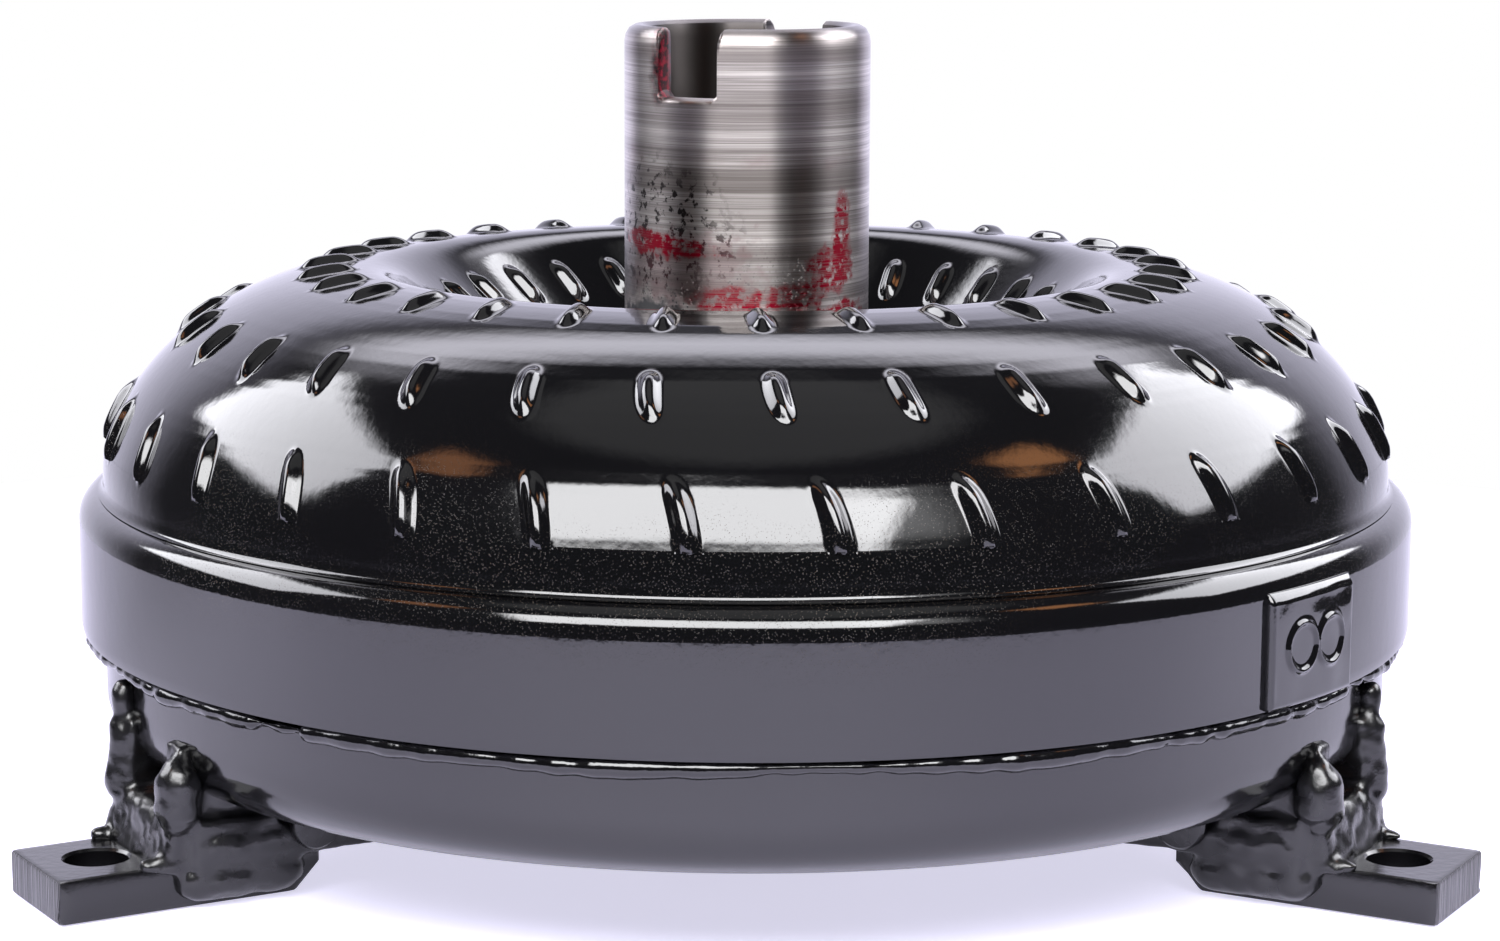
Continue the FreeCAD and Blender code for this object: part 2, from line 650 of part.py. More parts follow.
def round_inner_corners(body, name, d):
    """Fillet the two upright edges at the bracket's inner end."""
    body.Document.recompute()
    root = d.bracket_root.value
    edges = []
    for number, edge in enumerate(body.Shape.Edges, start=1):
        places = [vertex.Point for vertex in edge.Vertexes]
        if all(abs(p.x - root) < 0.01 for p in places) and abs(places[0].y - places[-1].y) < 0.01:
            edges.append(f"Edge{number}")
    block = body.Tip
    fillet = body.newObject("PartDesign::Fillet", f"{name}_round")
    fillet.Base = (block, edges)
    bind(fillet, "Radius", d.bracket_round)
    body.Tip = fillet


def lug_rod(doc, d, name, azimuth):
    """Short round bar that lies across the ledge, under the cover's corner."""
    body = new_body(doc, name)
    end = sketch_in(body, f"{name}_end", "XZ_Plane")
    draw_circle(end, d.rod_place, d.cover_foot - d.joint_gap - d.rod_radius, d.rod_radius)
    pad(body, f"{name}_rod", end, d.rod_length, both_ways=True)
    turn_about_axis(body, azimuth)
    return body


def lug_weld(doc, d, name, azimuth):
    """Fillets of weld along the bracket's foot and under its overhanging sides."""
    body = new_body(doc, name)
    half_bar = d.bar_width / 2
    half_bracket = d.bracket_width / 2
    leg = half_bracket - half_bar
    slope = (d.bracket_toe - d.bracket_face) / (d.bracket_bend - d.bar_thickness)
    toe = sketch_in(body, f"{name}_toe_outline", "XZ_Plane")
    draw_outline(toe, [
        (d.bracket_toe, d.bar_thickness),
        (d.bracket_toe + leg, d.bar_thickness),
        (d.bracket_toe - slope * leg, d.bar_thickness + leg),
    ])
    pad(body, f"{name}_toe", toe, d.bar_width, both_ways=True)
    for word, side in (("left", 1), ("right", -1)):
        under = sketch_in(body, f"{name}_{word}_outline", "YZ_Plane", lift=d.bar_root)
        draw_outline(under, [
            (half_bar * side, d.bar_thickness),
            (half_bar * side, d.bar_thickness - leg),
            (half_bracket * side, d.bar_thickness),
        ])
        pad(body, f"{name}_{word}", under, d.bracket_toe - d.bar_root - d.side_weld_end)
    turn_about_axis(body, azimuth)
    return body


def mounting_lugs(doc, d):
    """Three equal lugs round the cover."""
    pieces = []
    for index in range(round(d.lug_count.value)):
        azimuth = d.lug_azimuth + ALL_ROUND / d.lug_count * index
        number = index + 1
        pieces.append(lug_bar(doc, d, f"lug_bar_{number}", azimuth))
        pieces.append(lug_bracket(doc, d, f"lug_bracket_{number}", azimuth))
        pieces.append(lug_rod(doc, d, f"lug_rod_{number}", azimuth))
        pieces.append(lug_weld(doc, d, f"lug_weld_{number}", azimuth))
    return pieces


# ---------------------------------------------------------------- thrust bearings


def bearing_height(d):
    """Height of a thrust bearing with its running gaps."""
    return (d.race_thickness + d.joint_gap + d.needle_radius) * 2


def washer(doc, name, inner, outer, bottom, thickness):
    """Flat ring."""
    return turned_body(doc, name, [
        (inner, bottom),
        (outer, bottom),
        (outer, bottom + thickness),
        (inner, bottom + thickness),
    ])


def needle_set(doc, d, name, middle):
    """Needles that lie radially at a height."""
    body = new_body(doc, name)
    inner = (d.bearing_inner + d.bearing_outer - d.needle_length) / 2
    end = sketch_in(body, f"{name}_end", "YZ_Plane", lift=inner)
    draw_circle(end, 0, middle, d.needle_radius)
    needle = pad(body, f"{name}_needle", end, d.needle_length)
    repeat(body, needle, d.needle_count)
    return body


def needle_cage(doc, d, name, middle):
    """Flat cage with a window for each needle."""
    bottom = middle - d.cage_thickness / 2
    body = washer(doc, name, d.bearing_inner, d.bearing_outer, bottom, d.cage_thickness)
    inner = (d.bearing_inner + d.bearing_outer - d.needle_length) / 2 - d.joint_gap
    outer = inner + d.needle_length + d.joint_gap * 2
    half = d.needle_radius + d.joint_gap
    window = sketch_in(body, f"{name}_window_outline", lift=bottom + d.cage_thickness)
    draw_outline(window, [(inner, -half), (outer, -half), (outer, half), (inner, half)])
    repeat(body, cut(body, f"{name}_window", window, d.cage_thickness), d.needle_count)
    return body


def thrust_bearing(doc, d, name, bottom):
    """Two races with a cage of needles between them."""
    middle = bottom + bearing_height(d) / 2
    top_race = bottom + bearing_height(d) - d.race_thickness
    inner, outer, race = d.bearing_inner, d.bearing_outer, d.race_thickness
    return [
        washer(doc, f"{name}_lower_race", inner, outer, bottom, race),
        needle_cage(doc, d, f"{name}_cage", middle),
        needle_set(doc, d, f"{name}_needles", middle),
        washer(doc, f"{name}_upper_race", inner, outer, top_race, race),
    ]


# ---------------------------------------------------------------- bladed wheels


def core_meridian(d, edge, up):
    """Meridian of a core ring from its inner to its outer edge, arched up or down."""
    shoulder = edge + d.core_height * up
    return [
        (d.core_inner, edge, d.core_side_arc, -up),
        (d.core_inner + d.core_shoulder, shoulder, d.core_crown_arc, -up),
        (d.core_outer - d.core_shoulder, shoulder, d.core_side_arc, -up),
        (d.core_outer, edge),
    ]


def core_ring(doc, d, name, edge, up):
    """Half-ring of sheet metal that closes the inside of the flow passage."""
    return shell_of_revolution(doc, name, core_meridian(d, edge, up), d.core_wall)


def turbine_bowl(doc, d):
    """Pressed bowl that carries the turbine's blades, before it is drilled for its rivets."""
    return shell_of_revolution(doc, "turbine_bowl", [
        (d.turbine_hole, d.turbine_seat),
        (d.turbine_seat_radius, d.turbine_seat),
        (d.turbine_rise_radius, d.turbine_rise_height, d.turbine_inner_arc, 1),
        (d.turbine_low_radius, d.turbine_low_height, d.turbine_low_arc, 1),
        (d.turbine_bend_radius, d.turbine_bend_height, d.turbine_lip_arc, 1),
        (d.turbine_lip, d.turbine_edge),
    ], d.turbine_wall)


def core_solid(doc, d, name, edge, up):
    """The space inside a core ring, which the blades leave free."""
    face = free_sketch(doc, f"{name}_outline", core_meridian(d, edge, up))
    return turned_part(doc, name, face)


def turned_part(doc, name, sketch):
    """A closed sketch turned about Z into a solid."""
    turned = doc.addObject("Part::Revolution", name)
    turned.Source = sketch
    turned.Axis = AXIS
    turned.Angle = ALL_ROUND
    turned.Solid = True
    return turned


def boolean(doc, kind, name, base, tool):
    """Part::Cut or Part::Common of two objects."""
    result = doc.addObject(kind, name)
    result.Base = base
    result.Tool = tool
    return result


def blade_ring(doc, name, blade, count, edge):
    """Copies round the axis of the piece of a cut sheet that lies nearest the blades' edge plane."""
    doc.recompute()
    piece = min(blade.Shape.Solids, key=lambda solid: abs(solid.CenterOfMass.z - edge))
    copies = []
    for index in range(count):
        copy = piece.copy()
        copy.rotate(Vector(), AXIS, ALL_ROUND / count * index)
        copies.append(copy)
    ring = doc.addObject("Part::Feature", name)
    ring.Label = name
    ring.Shape = Part.makeCompound(copies)
    ring.Placement = Placement()
    return ring


def bladed_wheel(doc, d, name, shell, edge, up, plan, arc, turn, count):
    """Blades between a shell and its core ring. The plan gives a blade's two ends."""
    half = d.blade_thickness / 2
    (x0, y0), (x1, y1) = plan
    strip = free_sketch(doc, f"{name}_plan", [
        (x0, y0 - half, arc, turn),
        (x1, y1 - half),
        (x1, y1 + half, arc, -turn),
        (x0, y0 + half),
    ], rotation=Rotation())
    tall = doc.addObject("Part::Extrusion", f"{name}_sheet")
    tall.Base = strip
    tall.DirMode = "Custom"
    tall.Dir = Vector(0, 0, up)
    tall.Solid = True
    bind(tall, "LengthFwd", d.passage_height)
    strip.Placement = Placement(Vector(0, 0, edge.value), Rotation())
    bind(strip, "Placement.Base.z", edge)
    roof = edge + d.passage_height * up
    throat = free_sketch(doc, f"{name}_throat", [
        (d.core_inner + d.blade_thickness / 2, edge),
        (x1, edge),
        (x1, roof),
        (d.blade_root, roof),
        (d.core_inner - d.throat_lean, edge + d.throat_rise * up),
    ])
    room = turned_part(doc, f"{name}_room", throat)
    inside_room = boolean(doc, "Part::Common", f"{name}_in_room", tall, room)
    clear_of_shell = boolean(doc, "Part::Cut", f"{name}_in_shell", inside_room, shell)
    core = core_solid(doc, d, f"{name}_core", edge, up)
    blade = boolean(doc, "Part::Cut", f"{name}_single", clear_of_shell, core)
    return blade_ring(doc, name, blade, round(count.value), edge.value)


def turbine_hub(doc, d):
    """Splined hub of the turbine, which drives the transmission's input shaft."""
    top = d.middle_bearing
    flange_bottom = d.turbine_seat - d.turbine_flange_thickness
    body = turned_body(doc, "turbine_hub", [
        (d.turbine_spline_minor, d.turbine_hub_bottom),
        (d.turbine_hub_radius, d.turbine_hub_bottom),
        (d.turbine_hub_radius, d.turbine_hub_bottom + d.turbine_foot),
        (d.turbine_neck, d.turbine_hub_bottom + d.turbine_foot + d.turbine_foot_slope),
        (d.turbine_neck, flange_bottom - d.turbine_web),
        (d.turbine_neck + d.turbine_web_run, flange_bottom),
        (d.turbine_flange, flange_bottom),
        (d.turbine_flange, d.turbine_seat),
        (d.turbine_hub_radius, d.turbine_seat),
        (d.turbine_hub_radius, top),
        (d.turbine_spline_minor, top),
    ])
    rivet_hole = sketch_in(body, "rivet_hole", lift=d.turbine_seat)
    draw_circle(rivet_hole, d.rivet_circle, 0, d.rivet_radius)
    repeat(body, cut(body, "rivet_holes", rivet_hole, d.turbine_flange_thickness), d.rivet_count)
    cut_spline(body, "turbine_spline", d, d.turbine_spline_minor, d.turbine_spline_major,
               d.turbine_spline_teeth, top, top - d.turbine_hub_bottom)
    return body


def cut_spline(body, name, d, minor, major, teeth, top, depth):
    """Cut the tooth spaces of an internal spline, each a trapezium narrowing outwards."""
    pitch = minor * (2 * math.pi) / teeth
    root = pitch * d.spline_root
    tip = pitch * d.spline_tip
    gap = sketch_in(body, f"{name}_gap", lift=top)
    draw_outline(gap, [(minor - 1, -root), (major, -tip), (major, tip), (minor - 1, root)])
    repeat(body, cut(body, f"{name}_cut", gap, depth), teeth)


def turbine_rivets(doc, d):
    """Rivets that hold the turbine shell to its hub's flange."""
    body = new_body(doc, "turbine_rivets")
    bottom = d.turbine_seat - d.turbine_flange_thickness
    top = d.turbine_seat + d.turbine_wall
    head = d.rivet_head_height
    shank = sketch_in(body, "rivet_shank", lift=bottom)
    draw_circle(shank, d.rivet_circle, 0, d.rivet_radius)
    repeat(body, pad(body, "shanks", shank, top - bottom), d.rivet_count)
    for word, place in (("lower", bottom - head), ("upper", top)):
        disc = sketch_in(body, f"rivet_{word}_head", lift=place)
        draw_circle(disc, d.rivet_circle, 0, d.rivet_head)
        repeat(body, pad(body, f"{word}_heads", disc, head), d.rivet_count)
    return body


def turbine_shell(doc, bowl, rivets):
    """The bowl with a hole for each rivet."""
    shell = boolean(doc, "Part::Cut", "turbine_shell", bowl, rivets)
    shell.Label = "turbine_shell"
    return shell


# ---------------------------------------------------------------- stator and one-way clutch


def stator_wheel(doc, d):
    """Cast wheel: a hub ring with grooves for two snap rings, vanes, and a rim round them."""
    groove_foot = d.clutch_bottom - d.cap_thickness
    groove_head = d.clutch_top + d.cap_thickness
    depth = d.snap_outer + d.joint_gap * 2
    reach = d.snap_thickness + d.joint_gap * 2
    body = turned_body(doc, "stator_wheel", [
        (d.stator_bore, d.stator_bottom),
        (d.stator_ring, d.stator_bottom),
        (d.stator_ring, d.stator_top),
        (d.stator_bore, d.stator_top),
        (d.stator_bore, groove_head + reach),
        (depth, groove_head + reach),
        (depth, groove_head),
        (d.stator_bore, groove_head),
        (d.stator_bore, groove_foot),
        (depth, groove_foot),
        (depth, groove_foot - reach),
        (d.stator_bore, groove_foot - reach),
    ])
    section = sketch_in(body, "vane_section", "YZ_Plane", lift=d.stator_ring - d.vane_overlap)
    draw_outline(section, [
        (-d.vane_lean / 2, d.vane_bottom, d.vane_back_arc, 1),
        (d.vane_lean / 2, d.vane_top, d.vane_belly_arc, -1),
    ])
    vane = pad(body, "vane", section, d.vane_tip - d.stator_ring + d.vane_overlap * 1.3)
    repeat(body, vane, d.vane_count)
    revolve(body, "rim", [
        (d.vane_tip, d.shroud_bottom),
        (d.shroud_radius, d.shroud_bottom),
        (d.shroud_radius, d.shroud_top),
        (d.vane_tip, d.shroud_top),
    ])
    return body


def clutch_outer_race(doc, d):
    """Outer race of the one-way clutch, with a pocket for each roller and its spring."""
    body = washer(doc, "clutch_outer_race", d.cam_bore, d.cam_radius, d.clutch_bottom,
                  d.clutch_top - d.clutch_bottom)
    pocket = sketch_in(body, "roller_pocket", lift=d.clutch_top)
    inner = d.roller_circle - d.pocket_radius
    outer = d.roller_circle + d.pocket_radius
    start = -d.pocket_ease
    draw_outline(pocket, [
        (outer, start),
        (outer, d.pocket_run, d.pocket_radius * 1.001, 1),
        (inner, d.pocket_run),
        (inner, start, d.pocket_radius * 1.001, 1),
    ])
    depth = d.clutch_top - d.clutch_bottom
    repeat(body, cut(body, "roller_pockets", pocket, depth), d.roller_count)
    return body


def clutch_rollers(doc, d):
    """Rollers that jam between the two races one way and run free the other."""
    body = new_body(doc, "clutch_rollers")
    bottom = d.clutch_bottom + d.inner_race_gap
    end = sketch_in(body, "roller_end", lift=bottom)
    draw_circle(end, d.roller_circle, 0, d.roller_radius)
    roller = pad(body, "roller", end, d.clutch_top - d.inner_race_gap - bottom)
    repeat(body, roller, d.roller_count)
    return body


def clutch_springs(doc, d):
    """Folded strips of spring steel that push the rollers into the narrow end of their pockets."""
    body = new_body(doc, "clutch_springs")
    middle = (d.clutch_bottom + d.clutch_top) / 2
    plan = sketch_in(body, "spring_plan", lift=middle - d.spring_height / 2)
    start = d.roller_radius + d.joint_gap * 4
    going = []
    for index in range(round(d.spring_folds.value)):
        fold = d.spring_inner if index % 2 else d.spring_outer
        going.append((fold - d.spring_strip, start + index))
    coming = [(x + d.spring_strip * 2, y) for x, y in reversed(going)]
    draw_outline(plan, going + coming)
    repeat(body, pad(body, "spring", plan, d.spring_height), d.roller_count)
    return body


def clutch_inner_race(doc, d):
    """Inner race, splined to the transmission's fixed stator shaft."""
    bottom = d.clutch_bottom + d.inner_race_gap
    height = d.clutch_top - d.inner_race_gap - bottom
    body = washer(doc, "clutch_inner_race", d.stator_spline_minor, d.inner_race_radius, bottom, height)
    cut_spline(body, "stator_spline", d, d.stator_spline_minor, d.stator_spline_major,
               d.stator_spline_teeth, bottom + height, height)
    return body


def snap_ring(doc, d, name, bottom):
    """Open ring of flat wire that sits in the stator's groove."""
    body = washer(doc, name, d.snap_inner, d.snap_outer, bottom, d.snap_thickness)
    opening = sketch_in(body, f"{name}_opening", lift=bottom + d.snap_thickness)
    half = d.snap_opening / 2
    draw_outline(opening, [
        (d.snap_inner - d.cut_margin, -half),
        (d.snap_outer + d.cut_margin, -half),
        (d.snap_outer + d.cut_margin, half),
        (d.snap_inner - d.cut_margin, half),
    ])
    cut(body, f"{name}_gap", opening, d.snap_thickness)
    return body


def one_way_clutch(doc, d):
    """The clutch's races, rollers and springs with the caps and snap rings that hold them in."""
    lower_cap = d.clutch_bottom - d.cap_thickness
    upper_cap = d.clutch_top
    return [
        clutch_outer_race(doc, d),
        clutch_rollers(doc, d),
        clutch_springs(doc, d),
        clutch_inner_race(doc, d),
        washer(doc, "stator_front_cap", d.cap_bore, d.cam_radius, lower_cap, d.cap_thickness),
        washer(doc, "stator_rear_cap", d.cap_bore, d.cam_radius, upper_cap, d.cap_thickness),
        snap_ring(doc, d, "stator_front_snap_ring", lower_cap - d.snap_thickness - d.joint_gap),
        snap_ring(doc, d, "stator_rear_snap_ring", upper_cap + d.cap_thickness + d.joint_gap),
    ]


# ---------------------------------------------------------------- assembly


def build(doc, d):
    """Make every sub-part and return them."""
    shell = impeller_shell(doc, d)
    bowl = turbine_bowl(doc, d)
    rivets = turbine_rivets(doc, d)
    impeller_plan = ((d.blade_root, d.impeller_root_offset), (d.flank_radius - 1, d.impeller_tip_offset))
    turbine_plan = ((d.blade_root, d.turbine_root_offset), (d.turbine_lip + 2, d.turbine_tip_offset))
    impeller_blades = bladed_wheel(
        doc, d, "impeller_blades", shell, d.impeller_edge, 1, impeller_plan,
        d.impeller_blade_arc, 1, d.impeller_blade_count)
    turbine_blades = bladed_wheel(
        doc, d, "turbine_blades", bowl, d.turbine_edge, -1, turbine_plan,
        d.turbine_blade_arc, -1, d.turbine_blade_count)
    return [
        shell,
        pump_hub(doc, d),
        hub_weld(doc, d),
        front_cover(doc, d),
        crank_pilot(doc, d),
        pilot_weld(doc, d),
        closure_weld(doc, d),
        balance_plate(doc, d),
        *mounting_lugs(doc, d),
        impeller_blades,
        core_ring(doc, d, "impeller_core_ring", d.impeller_edge, 1),
        turbine_shell(doc, bowl, rivets),
        turbine_blades,
        core_ring(doc, d, "turbine_core_ring", d.turbine_edge, -1),
        turbine_hub(doc, d),
        rivets,
        *thrust_bearing(doc, d, "front_bearing", d.cover_floor),
        *thrust_bearing(doc, d, "middle_bearing", d.middle_bearing),
        *thrust_bearing(doc, d, "rear_bearing", d.hub_flange_bottom - bearing_height(d)),
        stator_wheel(doc, d),
        *one_way_clutch(doc, d),
    ]


def check(doc, pieces):
    """Stop if anything failed, or if a sub-part has no valid solid."""
    for thing in doc.Objects:
        if "Invalid" in thing.State or "Error" in thing.State:
            raise RuntimeError(f"{thing.Name} failed: {thing.State}")
    for piece in pieces:
        shape = piece.Shape
        if shape.isNull() or not shape.isValid() or not shape.Solids:
            raise RuntimeError(f"{piece.Label} has no valid shape")


def write(pieces):
    """Write each sub-part to its own STEP file."""
    os.makedirs("parts", exist_ok=True)
    for old in os.listdir("parts"):
        os.remove(os.path.join("parts", old))
    for piece in pieces:
        piece.Shape.exportStep(f"parts/{piece.Label}.step")
        print(f"{piece.Label}: {len(piece.Shape.Solids)} solids, {piece.Shape.Volume / 1000:.2f} cm3")


def main():
    doc = FreeCAD.newDocument("torque_converter")
    sizes = make_sheet(doc)
    pieces = build(doc, sizes)
    doc.recompute()
    check(doc, pieces)
    write(pieces)


main()
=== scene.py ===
# %% [markdown]
# # A torque converter, dressed
#
# A torque converter is a welded steel doughnut full of oil that sits between an engine and an
# automatic transmission. This lesson takes a finished CAD model of one and gives it the looks of
# the real thing: gloss black enamel, lumpy hand welds and a bare turned hub with dye on it.
#
# The first cell loads the CAD model as a fixed frame. Everything made later is placed from it.

# %% Load the frame
import json
import math

import bpy
import numpy as np
from mathutils import Matrix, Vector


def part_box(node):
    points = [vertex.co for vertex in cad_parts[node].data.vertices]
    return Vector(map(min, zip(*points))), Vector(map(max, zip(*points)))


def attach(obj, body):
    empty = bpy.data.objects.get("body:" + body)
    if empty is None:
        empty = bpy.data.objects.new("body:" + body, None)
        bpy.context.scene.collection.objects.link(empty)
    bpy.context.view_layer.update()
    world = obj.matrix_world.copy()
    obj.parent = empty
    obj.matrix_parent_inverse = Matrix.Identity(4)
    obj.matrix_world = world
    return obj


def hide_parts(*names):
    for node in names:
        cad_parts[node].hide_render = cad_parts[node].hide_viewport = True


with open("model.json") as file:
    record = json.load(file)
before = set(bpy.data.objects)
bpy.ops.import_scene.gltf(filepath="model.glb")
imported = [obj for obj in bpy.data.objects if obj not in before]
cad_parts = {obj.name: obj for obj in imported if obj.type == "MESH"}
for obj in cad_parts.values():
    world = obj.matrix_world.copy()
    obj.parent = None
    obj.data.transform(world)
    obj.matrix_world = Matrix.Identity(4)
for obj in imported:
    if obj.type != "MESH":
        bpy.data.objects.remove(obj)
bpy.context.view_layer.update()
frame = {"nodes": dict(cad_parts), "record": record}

MM = 0.001

# %% [markdown]
# ## Surfaces from grids
#
# Nearly every piece here is a surface of two parameters: one runs along an outline, the other runs
# round the shaft line. The points are worked out as whole numpy arrays, and one helper turns any
# grid of points into a mesh. A grid that closes on itself both ways is a ring, and needs no caps.

# %% Turn a grid of points into a mesh
SHARP_ANGLE = math.radians(38)


def grid_faces(rows, columns, close_rows, close_columns):
    """Corner numbers of every square between neighbouring rows and columns of a grid."""
    row = np.arange(rows if close_rows else rows - 1)[:, None]
    column = np.arange(columns if close_columns else columns - 1)[None, :]
    next_row = (row + 1) % rows
    next_column = (column + 1) % columns
    corners = [row * columns + column, row * columns + next_column,
               next_row * columns + next_column, next_row * columns + column]
    return np.stack([np.broadcast_to(c, (row.size, column.size)) for c in corners], -1).reshape(-1, 4)


def make_mesh(name, points, faces, sharp=SHARP_ANGLE):
    """A smooth-shaded object from points in millimetres and four-cornered faces."""
    mesh = bpy.data.meshes.new(name)
    mesh.vertices.add(len(points))
    mesh.vertices.foreach_set("co", (np.asarray(points) * MM).ravel())
    mesh.loops.add(faces.size)
    mesh.loops.foreach_set("vertex_index", faces.ravel().astype(np.int32))
    mesh.polygons.add(len(faces))
    mesh.polygons.foreach_set("loop_start", np.arange(0, faces.size, 4, dtype=np.int32))
    mesh.polygons.foreach_set("use_smooth", np.ones(len(faces), bool))
    mesh.update(calc_edges=True)
    mesh.validate()
    mesh.set_sharp_from_angle(angle=sharp)
    piece = bpy.data.objects.new(name, mesh)
    bpy.context.scene.collection.objects.link(piece)
    return piece


def grid_piece(name, grid, close_rows=True, close_columns=True, sharp=SHARP_ANGLE):
    """A piece from a grid of points shaped (rows, columns, 3), facing outwards."""
    rows, columns = grid.shape[:2]
    faces = grid_faces(rows, columns, close_rows, close_columns)
    piece = make_mesh(name, grid.reshape(-1, 3), faces, sharp)
    print(f"{name}: {rows} x {columns} points, {2 * len(faces)} triangles")
    return piece


def finish_piece(piece, body, material, slot_name, *nodes):
    """Let a piece ride on a body, wear a finish and stand for its CAD nodes."""
    piece.data.materials.clear()
    piece.data.materials.append(material)
    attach(piece, body)
    if nodes:
        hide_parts(*nodes)


# %% [markdown]
# ## Outlines with rounded corners
#
# A turned or pressed part is drawn the way a drawing shows it: straight runs, and a radius at each
# corner. Walking round that outline at even steps gives the rows of a grid. The dome's long curves
# are only corners with a large radius.

# %% Walk round an outline
def smoothstep(edge0, edge1, x):
    """0 below the first edge, 1 above the second, and a smooth rise between."""
    t = np.clip((x - edge0) / (edge1 - edge0), 0, 1)
    return t * t * (3 - 2 * t)


def rounded(corners):
    """Points along straight runs whose corners (r, z, radius) are replaced by arcs.

    At a corner the run turns by some angle. The arc touches both runs at radius x tan(angle / 2)
    from the corner, and its centre lies square to the run at the touching point.
    """
    places = np.array([corner[:2] for corner in corners], float)
    points = [places[0]]
    for before, here, after, corner in zip(places, places[1:], places[2:], corners[1:]):
        arriving = (here - before) / np.linalg.norm(here - before)
        leaving = (after - here) / np.linalg.norm(after - here)
        cross = arriving[0] * leaving[1] - arriving[1] * leaving[0]
        angle = math.atan2(cross, arriving @ leaving)
        radius = corner[2]
        touch = here - arriving * radius * math.tan(abs(angle) / 2)
        side = math.copysign(1.0, angle)
        centre = touch + side * radius * np.array([-arriving[1], arriving[0]])
        turns = np.linspace(0, angle, 2 + int(abs(angle) / math.radians(4)))
        spoke = touch - centre
        points.extend(centre + np.stack([
            spoke[0] * np.cos(turns) - spoke[1] * np.sin(turns),
            spoke[0] * np.sin(turns) + spoke[1] * np.cos(turns)], -1))
    points.append(places[-1])
    return np.array(points)


def along(path):
    """Distance travelled along a path at each of its points."""
    return np.concatenate([[0], np.cumsum(np.linalg.norm(np.diff(path, axis=0), axis=1))])


def even_steps(path, step):
    """The same path in equal steps, near a given length."""
    run = along(path)
    places = np.linspace(0, run[-1], 2 + int(run[-1] / step))
    return np.stack([np.interp(places, run, path[:, k]) for k in range(path.shape[1])], -1)


def left_of(path):
    """Unit vectors square to a path of (r, z) points, on its left."""
    ahead = np.gradient(path, axis=0)
    ahead /= np.linalg.norm(ahead, axis=1)[:, None]
    return np.stack([-ahead[:, 1], ahead[:, 0]], -1)


def turn(outline, angles):
    """Carry an outline of (r, z) points round the shaft line to each angle."""
    r, z = outline[:, 0][:, None], outline[:, 1][:, None]
    angles = np.asarray(angles)[None, :]
    return np.stack([r * np.cos(angles), r * np.sin(angles), z + 0 * angles], -1)


def whole_turn(columns):
    """Equal angles round the shaft line, clockwise so that faces look outwards."""
    return np.linspace(0, 2 * math.pi, columns, endpoint=False)


def rumple(points, wavelength, seed):
    """Smooth lumps of about unit height: the mean of twelve sine waves in random directions."""
    rng = np.random.default_rng(seed)
    directions = rng.normal(size=(12, 3))
    directions /= np.linalg.norm(directions, axis=1)[:, None]
    lengths = wavelength * rng.uniform(0.7, 1.5, 12)
    phases = rng.uniform(0, 2 * math.pi, 12)
    waves = np.sin(points @ (directions / lengths[:, None]).T * 2 * math.pi + phases)
    return waves.mean(-1) * 2.5


# %% [markdown]
# ## Sizes read from the frame
#
# The pieces meet the CAD parts, so their leading sizes are read from the CAD boxes and not typed
# in again. Only the shapes between those sizes are described here.

# %% Read the leading sizes
def high(node):
    """Highest corner of a CAD node's box in millimetres."""
    return np.array(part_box(node)[1]) / MM


def low(node):
    """Lowest corner of a CAD node's box in millimetres."""
    return np.array(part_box(node)[0]) / MM


SKIRT_RADIUS = high("impeller_shell")[1]
SKIRT_BOTTOM = low("impeller_shell")[2]
CREST_HEIGHT = high("impeller_shell")[2]
COVER_RADIUS = high("front_cover")[1]
COVER_BOTTOM = low("front_cover")[2]
COVER_RIM = high("front_cover")[2]
HUB_TOP = high("pump_hub")[2]
HUB_FLANGE_BOTTOM = low("pump_hub")[2]
LUG_END = high("lug_bar_1")[1]
BAR_THICKNESS = high("lug_bar_1")[2]
BAR_HALF = high("lug_bar_1")[0]
SKIRT_WALL = SKIRT_RADIUS - COVER_RADIUS
SHELL_WALL = 3.5
FLANK_RADIUS = SKIRT_RADIUS - 4.7
SPLIT_HEIGHT = 70.0
print("skirt radius", round(SKIRT_RADIUS, 2), "crest", round(CREST_HEIGHT, 2), "hub top", round(HUB_TOP, 2))

# %% [markdown]
# ## The dome and its dimples
#
# Each blade inside the impeller is held by four tabs, and the shell is pressed outwards over each
# tab, so the dome has four rings of slanting dimples. All four dimples of a blade lie on one
# slanting line. The grid's columns follow those lines, crowded together over the dimples and
# spread out between them, so a modest grid still draws every dimple crisply.

# %% The dome's outline
BLADES = 31
PITCH = 2 * math.pi / BLADES

fine_outline = even_steps(rounded([
    (34.3, 86.0, 0),
    (44.6, 86.0, 14.0),
    (69.3, CREST_HEIGHT, 12.0),
    (91.8, CREST_HEIGHT, 56.6),
    (119.6, 89.0, 46.0),
    (FLANK_RADIUS, 73.4, 14.0),
    (FLANK_RADIUS, SPLIT_HEIGHT, 0),
]), 0.1)
fine_run = along(fine_outline)
print("dome outline:", round(fine_run[-1], 1), "mm from the hub to the skirt")

